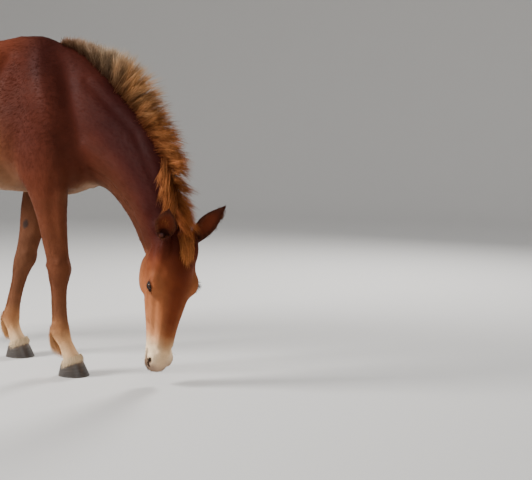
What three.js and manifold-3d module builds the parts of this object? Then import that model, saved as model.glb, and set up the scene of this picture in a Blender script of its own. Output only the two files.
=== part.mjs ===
// A young mule of about a year, life size, grazing: the head low and turned to its right, the right
// forefoot ahead of the left. Millimetres, +X towards the head, +Y to the mule's left, +Z up.
// It is drawn with x = 0 under the withers and the floor at z = 0, as one body of flesh that thin
// plates part. At the end the whole moves so that the origin is in the middle of its outline.
import * as THREE from 'three';
import { mergeVertices } from 'three/addons/utils/BufferGeometryUtils.js';
import Module from 'manifold-3d';

const wasm = await Module();
wasm.setup();

// Driving sizes
const WITHERS = 1310;
const HEAD_LENGTH = 545;
const EAR_LENGTH = 172;
const EYE_RADIUS = 19;
const HOOF_HEIGHT = 70;
const SEAM = 0.3;

// How finely the lofts are drawn
const BODY_SIDES = 22;
const NECK_SIDES = 20;
const HEAD_SIDES = 22;
const LEG_SIDES = 16;
const EAR_SIDES = 12;
const DOME_STEPS = 3;

const vec = (x, y, z) => new THREE.Vector3(x, y, z);

// Rows between the rows of a table, on a cubic through each column. The first column is the key.
function rowsBetween(table, steps) {
  const last = table.length - 1;
  const slope = (i, c) => {
    const before = table[Math.max(i - 1, 0)];
    const after = table[Math.min(i + 1, last)];
    return (after[c] - before[c]) / (after[0] - before[0]);
  };
  const fine = [];
  for (let i = 0; i < last; i++) {
    const gap = table[i + 1][0] - table[i][0];
    for (let k = 0; k < steps; k++) {
      const t = k / steps;
      const [t2, t3] = [t * t, t * t * t];
      fine.push(table[i].map((low, c) => {
        const high = table[i + 1][c];
        const leave = slope(i, c) * gap;
        const arrive = slope(i + 1, c) * gap;
        return low * (2 * t3 - 3 * t2 + 1) + high * (3 * t2 - 2 * t3) +
          leave * (t3 - 2 * t2 + t) + arrive * (t3 - t2);
      }));
    }
  }
  fine.push(table[last]);
  return fine;
}

// One oval ring between its top and bottom points. It is widest at level, a share of the way down,
// and crown and keel square or sharpen its two halves (2 is round, less is sharper).
function oval(top, bottom, side, half, level, crown, keel, sides) {
  const centre = top.clone().lerp(bottom, level);
  const rise = top.clone().sub(centre);
  const drop = bottom.clone().sub(centre);
  return Array.from({ length: sides }, (_, i) => {
    const angle = (2 * Math.PI * i) / sides;
    const [c, s] = [Math.cos(angle), Math.sin(angle)];
    const power = 2 / (s > 0 ? crown : keel);
    return centre.clone()
      .addScaledVector(side, half * Math.sign(c) * Math.abs(c) ** power)
      .addScaledVector(s > 0 ? rise : drop, Math.abs(s) ** power);
  });
}

const middle = (ring) =>
  ring.reduce((sum, p) => sum.add(p), vec(0, 0, 0)).divideScalar(ring.length);

// The rings of a loft with a rounded end of the given depth at the start and the finish.
function domed(rings, startDepth, endDepth) {
  const cap = (ring, inner, depth) => {
    if (!depth) return [];
    const centre = middle(ring);
    const out = centre.clone().sub(middle(inner)).normalize();
    return Array.from({ length: DOME_STEPS }, (_, k) => {
      const turn = ((k + 1) / (DOME_STEPS + 0.4)) * (Math.PI / 2);
      return ring.map((p) => centre.clone().addScaledVector(out, depth * Math.sin(turn))
        .addScaledVector(p.clone().sub(centre), Math.cos(turn)));
    });
  };
  return [
    ...cap(rings[0], rings[1], startDepth).reverse(),
    ...rings,
    ...cap(rings.at(-1), rings.at(-2), endDepth),
  ];
}

// A closed solid through a row of rings, each end closed by a fan.
function loft(rings) {
  const sides = rings[0].length;
  const points = [...rings.flat(), middle(rings[0]), middle(rings.at(-1))];
  const [first, last] = [points.length - 2, points.length - 1];
  const faces = [];
  for (let i = 0; i < sides; i++) {
    const next = (i + 1) % sides;
    const end = (rings.length - 1) * sides;
    faces.push([first, next, i], [last, end + i, end + next]);
    for (let r = 0; r + 1 < rings.length; r++) {
      const [a, b] = [r * sides + i, r * sides + next];
      faces.push([a, b, a + sides], [b, b + sides, a + sides]);
    }
  }
  const volume = faces.reduce((sum, [a, b, c]) =>
    sum + points[a].dot(points[b].clone().cross(points[c])), 0);
  if (volume < 0) faces.forEach((face) => face.reverse());
  return new wasm.Manifold(new wasm.Mesh({
    numProp: 3,
    vertProperties: new Float32Array(points.flatMap((p) => p.toArray())),
    triVerts: new Uint32Array(faces.flat()),
  }));
}

// A three.js geometry, placed by a matrix, as a solid.
function solidOf(geometry, matrix) {
  const bare = geometry.clone();
  bare.deleteAttribute('normal');
  bare.deleteAttribute('uv');
  const merged = mergeVertices(bare.applyMatrix4(matrix), 1e-3);
  return new wasm.Manifold(new wasm.Mesh({
    numProp: 3,
    vertProperties: merged.attributes.position.array,
    triVerts: new Uint32Array(merged.index.array),
  }));
}

const union = (solids) => wasm.Manifold.union(solids);

// An egg of flesh or bone with its own three radii, in a frame.
function egg(frame, [x, y, z], [rx, ry, rz], detail = 10) {
  const place = frame.clone()
    .multiply(new THREE.Matrix4().makeTranslation(x, y, z))
    .multiply(new THREE.Matrix4().makeScale(rx, ry, rz));
  return solidOf(new THREE.SphereGeometry(1, detail, detail - 4), place);
}

// The second column of a table at a value of its first, on the same cubic.
function lineAt(line, height) {
  const fine = rowsBetween(line, 8);
  const above = fine.findIndex((row) => row[0] > height);
  const i = above < 0 ? fine.length - 2 : Math.max(0, above - 1);
  const share = (height - fine[i][0]) / (fine[i + 1][0] - fine[i][0]);
  return fine[i][1] + share * (fine[i + 1][1] - fine[i][1]);
}

// The same row of numbers every time, for the small differences between locks.
function seeded(seed) {
  let state = seed;
  return (low, high) => {
    state = (state * 1664525 + 1013904223) % 4294967296;
    return low + ((high - low) * state) / 4294967296;
  };
}

// A lock of hair: a flat blade through a path from inside the flesh, tapering to its tip. Its width
// lies across, and grow is the room that a neighbour leaves round it.
const LOCK_TAPER = [[0, 0.8], [0.3, 1], [0.7, 0.8], [1, 0.08]];
function lock(path, across, width, thick, grow = 0) {
  const last = path.length - 1;
  return loft(path.map((place, i) => {
    const along = path[Math.min(i + 1, last)].clone().sub(path[Math.max(i - 1, 0)]).normalize();
    const side = across.clone().addScaledVector(along, -across.dot(along)).normalize();
    const flat = along.clone().cross(side);
    const taper = lineAt(LOCK_TAPER, i / last);
    side.multiplyScalar((width * taper) / 2 + grow);
    flat.multiplyScalar((thick * taper) / 2 + grow);
    return [side, flat, side.clone().negate(), flat.clone().negate()].map((arm) => arm.add(place));
  }));
}

// A path of equal steps that sets out one way and is bent a little more by a pull at each step.
function bentPath(start, way, pull, length, steps) {
  const path = [start];
  const heading = way.clone().normalize();
  for (let i = 0; i < steps; i++) {
    path.push(path.at(-1).clone().addScaledVector(heading, length / steps));
    heading.addScaledVector(pull, 1 / steps).normalize();
  }
  return path;
}

const BODY_FRAME = new THREE.Matrix4();

// Torso: x, top line, under line, half width, level of the widest place, crown, keel
const TORSO = [
  [226, 985, 732, 100, 0.5, 2.0, 2.2],
  [180, 1126, 708, 126, 0.52, 2.0, 2.2],
  [110, 1250, 690, 146, 0.55, 1.7, 2.2],
  [30, WITHERS - 6, 690, 158, 0.58, 1.5, 2.2],
  [-50, WITHERS, 696, 166, 0.6, 1.5, 2.1],
  [-160, WITHERS - 2, 702, 178, 0.58, 1.7, 2.1],
  [-300, WITHERS - 16, 710, 190, 0.55, 1.9, 2.1],
  [-450, WITHERS - 26, 726, 194, 0.52, 2.0, 2.1],
  [-580, WITHERS - 16, 752, 188, 0.48, 2.1, 2.1],
  [-690, WITHERS + 4, 792, 180, 0.42, 2.1, 2.1],
  [-800, WITHERS + 4, 840, 176, 0.4, 2.0, 2.1],
  [-900, WITHERS - 40, 890, 154, 0.42, 1.9, 2.1],
  [-975, WITHERS - 110, 944, 112, 0.45, 1.9, 2.1],
];

function torsoSolid(grow = 0) {
  const rings = rowsBetween(TORSO, 2).map(([x, top, bottom, half, level, crown, keel]) =>
    oval(vec(x, 0, top + grow), vec(x, 0, bottom - grow), vec(0, 1, 0), half + grow, level, crown, keel,
      BODY_SIDES));
  const parts = [loft(domed(rings, 32 + grow, 40 + grow))];
  for (const y of [-1, 1]) {
    parts.push(egg(BODY_FRAME, [176, 66 * y, 822], [70, 58, 118], 14));
    parts.push(egg(BODY_FRAME, [-912, 84 * y, WITHERS - 236], [92 + grow, 68, 150]));
  }
  return union(parts);
}

// The neck bends towards the mule's right as it goes forward.
const BEND_START = 60;
const BEND_REACH = 560;
const BEND_SIDE = 130;
const BEND_POWER = 1.6;

function bend(x) {
  const share = Math.max(0, (x - BEND_START) / BEND_REACH);
  const slope = (BEND_SIDE * BEND_POWER * share ** (BEND_POWER - 1)) / BEND_REACH;
  return { y: -BEND_SIDE * share ** BEND_POWER, yaw: -Math.atan(slope) };
}

const sideways = (yaw) => vec(-Math.sin(yaw), Math.cos(yaw), 0);

// Neck: station, crest x and z, throat x and z, half width, level, crown, keel
const NECK = [
  [0, -20, 1280, 60, 830, 72, 0.5, 1.6, 2.0],
  [1, 90, 1292, 160, 764, 88, 0.55, 1.6, 2.0],
  [2, 190, 1246, 232, 726, 88, 0.56, 1.7, 2.0],
  [3, 295, 1164, 292, 722, 80, 0.56, 1.7, 2.0],
  [4, 390, 1072, 350, 686, 71, 0.55, 1.7, 2.1],
  [5, 480, 982, 402, 634, 64, 0.53, 1.7, 2.1],
  [6, 555, 888, 440, 582, 59, 0.5, 1.75, 2.1],
  [7, 608, 786, 468, 530, 57, 0.5, 1.8, 2.1],
  [8, 640, 684, 492, 482, 56, 0.5, 1.8, 2.1],
  [9, 654, 620, 520, 452, 54, 0.5, 1.9, 2.1],
];

function neckSolid() {
  const rings = rowsBetween(NECK, 2).map(([, cx, cz, tx, tz, half, level, crown, keel]) => {
    const [crest, throat] = [bend(cx), bend(tx)];
    const side = sideways((crest.yaw + throat.yaw) / 2);
    return oval(vec(cx, crest.y, cz), vec(tx, throat.y, tz), side, half, level, crown, keel, NECK_SIDES);
  });
  return loft(domed(rings, 0, 20));
}

// The head's own frame: x from the poll to the lips, y to its left, z out of the face.
const POLL = vec(648, -141, 583);
const HEAD_YAW = THREE.MathUtils.degToRad(-34);
const HEAD_TUCK = THREE.MathUtils.degToRad(8);
const HEAD_ROLL = THREE.MathUtils.degToRad(-5);

function headFrame() {
  const [up, side] = [vec(0, 0, 1), sideways(HEAD_YAW)];
  const ahead = side.clone().cross(up);
  const down = ahead.clone().multiplyScalar(-Math.sin(HEAD_TUCK)).addScaledVector(up, -Math.cos(HEAD_TUCK));
  const face = ahead.clone().multiplyScalar(Math.cos(HEAD_TUCK)).addScaledVector(up, -Math.sin(HEAD_TUCK));
  return new THREE.Matrix4().makeBasis(down, side, face)
    .multiply(new THREE.Matrix4().makeRotationZ(HEAD_ROLL))
    .setPosition(POLL);
}
const HEAD_FRAME = headFrame();
const inHead = (x, y, z) => vec(x, y, z).applyMatrix4(HEAD_FRAME);
const headward = (x, y, z) => vec(x, y, z).transformDirection(HEAD_FRAME);

// Head: distance from the poll, face line, jaw line, half width, level, crown, keel
const HEAD = [
  [10, 16, -84, 50, 0.45, 2.0, 2.0],
  [45, 33, -106, 68, 0.42, 2.1, 2.0],
  [95, 47, -124, 84, 0.38, 2.3, 1.9],
  [150, 56, -138, 93, 0.34, 2.5, 1.8],
  [200, 57, -140, 93, 0.32, 2.5, 1.8],
  [250, 53, -132, 82, 0.34, 2.3, 1.9],
  [310, 45, -116, 68, 0.38, 2.1, 2.1],
  [370, 37, -98, 56, 0.42, 2.0, 2.2],
  [430, 30, -82, 49, 0.46, 2.1, 2.2],
  [475, 25, -74, 49, 0.46, 2.2, 2.2],
  [510, 14, -66, 47, 0.48, 2.2, 2.2],
  [532, 0, -52, 37, 0.5, 2.1, 2.1],
];
const JAW = { place: [186, 50, -76], radii: [92, 31, 61] };
const ORBIT = { place: [197, 73, 15], radii: [52, 31, 33] };
const TEMPLE = { place: [84, 56, 14], radii: [68, 29, 27] };
const FACIAL_CREST = { place: [290, 60, -26], radii: [66, 12, 11] };
const NOSTRIL_WALL = { place: [486, 33, -6], radii: [38, 20, 27] };
const CHIN = { place: [492, 0, -62], radii: [30, 27, 17] };

function headFlesh(grow = 0) {
  const rings = rowsBetween(HEAD, 2).map(([x, face, jaw, half, level, crown, keel]) =>
    oval(vec(x, 0, face + grow), vec(x, 0, jaw - grow), vec(0, 1, 0), half + grow, level, crown, keel,
      HEAD_SIDES).map((p) => p.applyMatrix4(HEAD_FRAME)));
  const parts = [loft(domed(rings, 24 + grow, HEAD_LENGTH - 532 + grow))];
  const lump = ({ place: [x, y, z], radii }, side) =>
    parts.push(egg(HEAD_FRAME, [x, y * side, z], radii.map((r) => r + grow)));
  for (const side of [-1, 1]) {
    for (const part of [JAW, ORBIT, TEMPLE, FACIAL_CREST, NOSTRIL_WALL]) lump(part, side);
  }
  lump(CHIN, 1);
  return union(parts);
}

// Eye: its centre in the head's frame, which way it looks, and the lids over the ball
const EYE = { place: [204, 85, 10], look: [0.08, 0.91, 0.4] };
const LID = 3.6;
const EYE_OPENING = { length: 37, height: 25, slant: -14 };
const EYE_DETAIL = 12;

function eyeFrame(side) {
  const look = vec(...EYE.look).multiply(vec(1, side, 1)).normalize();
  const along = vec(1, 0, 0).addScaledVector(look, -look.x).normalize();
  return HEAD_FRAME.clone()
    .multiply(new THREE.Matrix4().makeTranslation(EYE.place[0], EYE.place[1] * side, EYE.place[2]))
    .multiply(new THREE.Matrix4().makeBasis(along, look.clone().cross(along), look));
}

const ball = (side, radius) => egg(eyeFrame(side), [0, 0, 0], [radius, radius, radius], EYE_DETAIL);

// The almond between the lids, from inside the ball out through them.
function eyeOpening(side) {
  const slant = THREE.MathUtils.degToRad(EYE_OPENING.slant * side);
  const frame = eyeFrame(side).multiply(new THREE.Matrix4().makeRotationZ(slant));
  const ring = (out) => {
    const almond = oval(vec(0, EYE_OPENING.height / 2, out), vec(0, -EYE_OPENING.height / 2, out),
      vec(1, 0, 0), EYE_OPENING.length / 2, 0.5, 1.45, 1.45, 12);
    return almond.map((p) => p.applyMatrix4(frame));
  };
  return loft([ring(2), ring(EYE_RADIUS + 24)]);
}

// Nostril: a comma-shaped hollow, from two eggs of its own
const NOSTRIL = [
  { place: [500, 43, -8], radii: [18, 11, 8] },
  { place: [487, 39, 3], radii: [12, 11, 7] },
];
const LIPS = { corner: 452, level: -34, rise: 12, gap: 2.4, depth: 9 };

// The line between the lips, let in from the skin to a small depth.
function mouthLine() {
  const [back, front] = [LIPS.corner, HEAD_LENGTH + 20];
  const slope = Math.atan2(LIPS.rise, HEAD_LENGTH - back);
  const place = HEAD_FRAME.clone()
    .multiply(new THREE.Matrix4().makeTranslation((back + front) / 2, 0, LIPS.level + LIPS.rise / 2))
    .multiply(new THREE.Matrix4().makeRotationY(-slope));
  const slab = solidOf(new THREE.BoxGeometry(front - back, 160, LIPS.gap), place);
  return slab.subtract(headFlesh(-LIPS.depth));
}

function headCuts() {
  const cuts = [mouthLine()];
  for (const side of [-1, 1]) {
    cuts.push(ball(side, EYE_RADIUS + SEAM), eyeOpening(side));
    for (const { place: [x, y, z], radii } of NOSTRIL) {
      cuts.push(egg(HEAD_FRAME, [x, y * side, z], radii, 8));
    }
  }
  return union(cuts);
}

// Forelegs: height, front and back from the leg's line, half width, distance out from the middle
// plane, crown, keel
const FORE = [
  [1190, 34, 56, 18, 72, 2.0, 2.0],
  [1090, 78, 84, 30, 98, 2.0, 2.0],
  [980, 104, 102, 44, 119, 2.0, 2.0],
  [880, 116, 108, 50, 126, 2.0, 2.0],
  [800, 108, 108, 52, 126, 2.0, 2.1],
  [740, 94, 98, 51, 123, 2.0, 2.1],
  [690, 82, 84, 48, 119, 2.0, 2.1],
  [630, 68, 70, 43, 114, 2.0, 2.0],
  [570, 59, 60, 39, 110, 2.0, 2.0],
  [510, 53, 53, 36, 106, 2.0, 2.1],
  [455, 48, 48, 35, 104, 2.2, 2.2],
  [412, 50, 46, 38, 104, 2.5, 2.4],
  [374, 42, 42, 34, 104, 2.3, 2.3],
  [335, 35, 36, 26, 104, 2.1, 2.1],
  [270, 32, 35, 23, 104, 2.0, 2.2],
  [215, 34, 36, 24, 104, 2.0, 2.2],
  [182, 38, 40, 28, 104, 2.1, 2.1],
  [158, 38, 44, 30, 104, 2.1, 2.1],
  [128, 34, 36, 27, 104, 2.1, 2.1],
  [100, 34, 32, 28, 104, 2.1, 2.1],
];

// Hind legs: the same columns
const HIND = [
  [1190, 110, 90, 40, 92, 2.0, 2.0],
  [1090, 166, 146, 64, 104, 2.0, 2.0],
  [980, 180, 160, 80, 108, 2.0, 2.0],
  [890, 172, 152, 82, 110, 2.0, 2.0],
  [810, 142, 136, 72, 112, 2.0, 2.0],
  [740, 108, 114, 59, 112, 2.0, 2.0],
  [670, 80, 90, 47, 111, 2.0, 1.9],
  [605, 58, 73, 38, 109, 2.0, 1.7],
  [555, 48, 66, 33, 107, 2.1, 1.8],
  [510, 46, 55, 37, 107, 2.3, 2.1],
  [462, 41, 41, 36, 107, 2.3, 2.2],
  [420, 33, 36, 29, 107, 2.1, 2.1],
  [340, 29, 33, 23, 107, 2.0, 2.1],
  [250, 29, 35, 23, 107, 2.0, 2.2],
  [200, 34, 39, 27, 107, 2.1, 2.1],
  [166, 36, 43, 30, 107, 2.1, 2.1],
  [130, 32, 35, 27, 107, 2.1, 2.1],
  [100, 33, 31, 27, 107, 2.1, 2.1],
];

// Where each leg's line runs: height and x, from the coronet up into the body
const LEGS = {
  fore_right: { side: -1, table: FORE, line: [
    [66, 168], [100, 152], [158, 124], [215, 120], [335, 118], [412, 120], [510, 108], [630, 98],
    [740, 86], [880, 52], [1080, 4], [1190, -36]] },
  fore_left: { side: 1, table: FORE, line: [
    [66, -222], [100, -238], [158, -254], [215, -242], [335, -206], [412, -180], [510, -150],
    [630, -124], [740, -80], [880, -12], [1080, -6], [1190, -36]] },
  hind_right: { side: -1, table: HIND, line: [
    [66, -900], [100, -918], [166, -946], [250, -950], [420, -952], [510, -942], [605, -900],
    [740, -824], [890, -792], [1080, -806], [1190, -824]] },
  hind_left: { side: 1, table: HIND, line: [
    [66, -720], [100, -738], [166, -768], [250, -782], [420, -816], [510, -822], [605, -806],
    [740, -770], [890, -776], [1080, -804], [1190, -824]] },
};

// The wedge of longer hair behind each fetlock. It follows the slope of the pastern by a share.
const FETLOCK_TUFT = { top: 184, drop: 116, root: 24, out: 10, follow: 0.5, width: 42, thick: 40 };

function fetlockTuft({ side, table, line }) {
  const { top, drop, root, out, follow, width, thick } = FETLOCK_TUFT;
  const y = side * table.at(-1)[4];
  const path = [0, 0.3, 0.65, 1].map((share) => {
    const height = top - drop * share;
    const x = lineAt(line, top) * (1 - follow) + lineAt(line, height) * follow;
    return vec(x - root - out * Math.sin(share * Math.PI), y, height);
  });
  return lock(path, vec(0, 1, 0), width, thick);
}

const CORONET = { front: 38, back: 44, half: 36, heelDrop: 30 };
const SOLE = { front: 64, back: 60, half: 47, hindHalf: 44 };

// The coronet's ring, which the leg ends on and the hoof starts from.
function coronet({ side, table, line }, lift) {
  const [x, y] = [lineAt(line, HOOF_HEIGHT), side * table.at(-1)[4]];
  return oval(vec(x + CORONET.front, y, HOOF_HEIGHT + lift),
    vec(x - CORONET.back, y, HOOF_HEIGHT - CORONET.heelDrop + lift),
    vec(0, 1, 0), CORONET.half, 0.5, 2.1, 2.1, LEG_SIDES);
}

function legSolid(leg, grow = 0) {
  const rings = leg.table.map(([height, front, back, half, out, crown, keel]) => {
    const x = lineAt(leg.line, height);
    return oval(vec(x + front + grow, leg.side * out, height), vec(x - back - grow, leg.side * out, height),
      vec(0, 1, 0), half + grow, 0.5, crown, keel, LEG_SIDES);
  });
  return loft([...rings, coronet(leg, SEAM)]);
}

function hoofSolid(leg) {
  const top = coronet(leg, 0);
  const x = lineAt(leg.line, HOOF_HEIGHT) + 8;
  const y = leg.side * leg.table.at(-1)[4];
  const half = leg.table === FORE ? SOLE.half : SOLE.hindHalf;
  const ground = oval(vec(x + SOLE.front, y, 0), vec(x - SOLE.back, y, 0),
    vec(0, 1, 0), half, 0.5, 2.1, 2.6, LEG_SIDES);
  return loft([top, ground]);
}

// Ears: root and aim in the head's frame, and which way the cup opens
const EARS = {
  left: { root: [34, 66, 0], aim: [-0.8, 0.54, 0.25], open: [0.3, -0.2, 0.9] },
  right: { root: [30, -62, 0], aim: [-0.7, -0.33, 0.63], open: [0.62, -0.5, 0.6] },
};
// Share of the length, half width, how far back from the ear's line, how far forward
const EAR_OUTSIDE = [
  [0, 28, 22, 17],
  [0.12, 33, 24, 19],
  [0.28, 39, 25, 15],
  [0.45, 40, 23, 9],
  [0.62, 36, 18, 5],
  [0.78, 26, 12, 3],
  [0.9, 14, 7, 2],
  [1, 3, 2.5, 1.5],
];
const EAR_INSIDE = [
  [0.12, 12, 10, 6],
  [0.22, 24, 18, 15],
  [0.32, 33, 20, 32],
  [0.45, 36, 18.5, 34],
  [0.62, 32, 13.5, 34],
  [0.78, 22, 8, 28],
  [0.9, 10.5, 3.8, 20],
  [0.97, 2.5, 1, 10],
];

function earFrame({ root, aim, open }) {
  const along = vec(...aim).normalize();
  const out = vec(...open).addScaledVector(along, -along.dot(vec(...open))).normalize();
  return HEAD_FRAME.clone().multiply(
    new THREE.Matrix4().makeBasis(along, out.clone().cross(along), out).setPosition(vec(...root)));
}

function earLeaf(ear, table, grow = 0) {
  const frame = earFrame(ear);
  return loft(table.map(([share, half, back, fore]) =>
    oval(vec(0, 0, fore + grow), vec(0, 0, -back - grow), vec(0, 1, 0), half + grow, fore / (fore + back),
      2, 2, EAR_SIDES).map((p) => p.setX(share * (EAR_LENGTH + grow)).applyMatrix4(frame))));
}

// Tail: the dock's station, x and z of its line, and its radius. The locks leave it all round, flare
// a little and are gathered again by their own weight; the lowest hang the longest.
const DOCK = [
  [0, -956, 1196, 26],
  [1, -1000, 1172, 33],
  [2, -1038, 1120, 32],
  [3, -1056, 1040, 27],
  [4, -1062, 950, 20],
  [5, -1064, 890, 12],
];
const TAIL_LOCKS = {
  count: 12, top: 1126, low: 900, tip: 486, width: 46, thick: 22, flare: 0.42, gather: 0.84,
};

function dockSolid() {
  const rings = DOCK.map(([, x, z, radius], i, all) => {
    const [, bx, bz] = all[Math.max(i - 1, 0)];
    const [, ax, az] = all[Math.min(i + 1, all.length - 1)];
    const along = vec(ax - bx, 0, az - bz).normalize();
    const back = vec(along.z, 0, -along.x).multiplyScalar(radius);
    return oval(vec(x, 0, z).add(back), vec(x, 0, z).sub(back), vec(0, 1, 0), radius, 0.5, 2, 2, 12);
  });
  return loft(rings);
}

function tailSolid() {
  const { count, top, low, tip, width, thick, flare, gather } = TAIL_LOCKS;
  const draw = seeded(11);
  const dockX = DOCK.map(([, x, z]) => [z, x]).reverse();
  const locks = Array.from({ length: count }, (_, i) => {
    const share = i / (count - 1);
    const height = top + (low - top) * share;
    const turn = i * 2.4 + draw(-0.4, 0.4);
    const round = vec(-Math.abs(Math.cos(turn)) * 0.7 - 0.1, Math.sin(turn), 0).normalize();
    const root = vec(lineAt(dockX, height), 0, height).addScaledVector(round, 6);
    const way = round.clone().multiplyScalar(flare).add(vec(0, 0, -1));
    const pull = round.clone().multiplyScalar(-gather).add(vec(0, 0, -0.5));
    const length = (height - tip) * (1 - 0.22 * (1 - share) * draw(0.3, 1)) * draw(0.9, 1);
    return lock(bentPath(root, way, pull, length, 5), vec(-round.y, round.x, 0), width * draw(0.8, 1.1),
      thick * draw(0.8, 1.1));
  });
  return union([dockSolid(), ...locks]);
}

// Mane: share of the way down the crest, length, how far it leans towards the head, and towards the
// mule's left. Near the withers it stands straight up; a parting follows, and then it flops forward.
const MANE = [
  [0, 40, -0.1, 0],
  [0.12, 54, -0.3, 0],
  [0.24, 80, -0.35, 0.05],
  [0.31, 108, -0.2, 0.1],
  [0.35, 134, 0.1, 0],
  [0.41, 146, 0.3, 0],
  [0.5, 136, 0.5, -0.2],
  [0.65, 114, 0.55, 0.05],
  [0.8, 90, 0.55, 0.1],
  [0.88, 96, 0.5, -0.3],
  [0.94, 120, 0.3, -1],
  [1, 118, 0.4, -0.8],
];
// The locks stand in three rows on the crest and droop towards their tips.
const MANE_LOCKS = { count: 37, start: 0.04, sink: 24, width: 58, thick: 16, rows: 10, droop: 0.35 };

const crestLine = new THREE.CatmullRomCurve3(
  NECK.slice(1).map(([, x, z]) => vec(x, bend(x).y, z)));

function maneLocks() {
  const { count, start, sink, width, thick, rows, droop } = MANE_LOCKS;
  const draw = seeded(7);
  return union(Array.from({ length: count }, (_, i) => {
    const share = Math.max(0, Math.min(1, (i + draw(-0.2, 0.2)) / (count - 1)));
    const station = start + (1 - start) * share;
    const [length, lean, sway] = [1, 2, 3].map((column) =>
      lineAt(MANE.map((row) => [row[0], row[column]]), share));
    const along = crestLine.getTangentAt(station);
    const side = vec(0, 0, 1).cross(along).normalize();
    const out = along.clone().cross(side);
    const row = (i % 3) - 1;
    const root = crestLine.getPointAt(station).addScaledVector(out, -sink)
      .addScaledVector(side, row * rows);
    const way = out.clone().addScaledVector(along, lean + draw(-0.12, 0.12))
      .addScaledVector(side, sway + row * 0.2 + draw(-0.12, 0.12));
    const pull = vec(0, 0, -droop * draw(0.5, 1.2)).addScaledVector(side, row * 0.25);
    return lock(bentPath(root, way, pull, sink + length * draw(0.85, 1.05), 4), along,
      width * draw(0.85, 1.15), thick * draw(0.85, 1.15));
  }));
}

// Forelock: from between the ears down over the forehead, clear of the skin by its lift
const FORELOCK = { count: 7, root: 2, half: 26, lift: 9, width: 22, thick: 9, drift: 6 };
const faceLine = HEAD.map(([x, face]) => [x, face]);

function forelockLocks(grow = 0) {
  const { count, root, half, lift, width, thick, drift } = FORELOCK;
  const draw = seeded(5);
  return union(Array.from({ length: count }, (_, i) => {
    const y = half * (i / (count - 1) - 0.5) * 2 * draw(0.7, 1);
    const length = draw(104, 142) * (1 - Math.abs(y) / 90);
    const start = root + draw(0, 16);
    const path = [0, 0.2, 0.5, 0.8, 1].map((share) => {
      const x = start + length * share;
      const above = share === 0 ? -14 : lift * (0.6 + Math.sin(Math.PI * share)) + draw(-1, 2);
      return inHead(x, y * (1 - 0.5 * share) + drift * share, lineAt(faceLine, x) + above - 0.005 * y * y);
    });
    return lock(path, headward(0, 1, 0), width * draw(0.85, 1.15), thick * draw(0.85, 1.15), grow);
  }));
}

// A plate of empty space, one seam thick, between two points of a side view and across y0 to y1.
function plate([x0, z0], [x1, z1], y0, y1, frame = BODY_FRAME) {
  const [length, width] = [Math.hypot(x1 - x0, z1 - z0), y1 - y0];
  const place = frame.clone()
    .multiply(new THREE.Matrix4().makeTranslation((x0 + x1) / 2, (y0 + y1) / 2, (z0 + z1) / 2))
    .multiply(new THREE.Matrix4().makeRotationY(-Math.atan2(z1 - z0, x1 - x0)));
  return solidOf(new THREE.BoxGeometry(length, width, SEAM), place);
}

// The same across a foreleg: level along the body, and rising outwards.
const FORELEG_CUT = { inner: [44, 652], outer: [210, 752] };
function forelegPlate({ side, line }) {
  const { inner: [y0, z0], outer: [y1, z1] } = FORELEG_CUT;
  const middle = (z0 + z1) / 2;
  const place = new THREE.Matrix4().makeTranslation(lineAt(line, middle), side * (y0 + y1) / 2, middle)
    .multiply(new THREE.Matrix4().makeRotationX(side * Math.atan2(z1 - z0, y1 - y0)));
  return solidOf(new THREE.BoxGeometry(280, Math.hypot(y1 - y0, z1 - z0), SEAM), place);
}

const NECK_CUT = [[20, 1420], [300, 660]];
const HEAD_CUT = [[-30, 36], [124, -182]];
const HINDLEG_CUT = [[-520, 668], [-1090, 938]];

const flesh = union([
  torsoSolid(),
  neckSolid(),
  ...Object.values(LEGS).map((leg) => legSolid(leg)),
  ...Object.values(LEGS).map(fetlockTuft),
]);
const head = union([headFlesh(), ball(1, EYE_RADIUS + LID), ball(-1, EYE_RADIUS + LID)]);
const plates = [
  plate(...NECK_CUT, -320, 320),
  plate(...HEAD_CUT, -110, 110, HEAD_FRAME),
  plate(...HINDLEG_CUT, 12, 260),
  plate(...HINDLEG_CUT, -260, -12),
  forelegPlate(LEGS.fore_left),
  forelegPlate(LEGS.fore_right),
];
const pieces = flesh.add(head).subtract(union(plates)).decompose();

// The piece of flesh that a point lies in.
function pieceAt(x, y, z) {
  const probe = egg(BODY_FRAME, [x, y, z], [4, 4, 4], 8);
  return pieces.find((piece) => piece.intersect(probe).volume() > 0);
}

const group = new THREE.Group();

function addNode(name, solid, colour, roughness) {
  const largest = solid.decompose().reduce((a, b) => (b.volume() > a.volume() ? b : a));
  const mesh = largest.getMesh();
  const geometry = new THREE.BufferGeometry()
    .setAttribute('position', new THREE.BufferAttribute(mesh.vertProperties, 3))
    .setIndex(new THREE.BufferAttribute(mesh.triVerts, 1));
  geometry.computeVertexNormals();
  const node = new THREE.Mesh(geometry,
    new THREE.MeshStandardMaterial({ color: colour, roughness, metalness: 0 }));
  node.name = name;
  group.add(node);
}

const COAT = { colour: 0x6b3424, roughness: 0.7 };
const LEG_COAT = { colour: 0x8a5a3c, roughness: 0.7 };
const HORN = { colour: 0x4a4038, roughness: 0.5 };
const EYEBALL = { colour: 0x1c100b, roughness: 0.15 };

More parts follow.
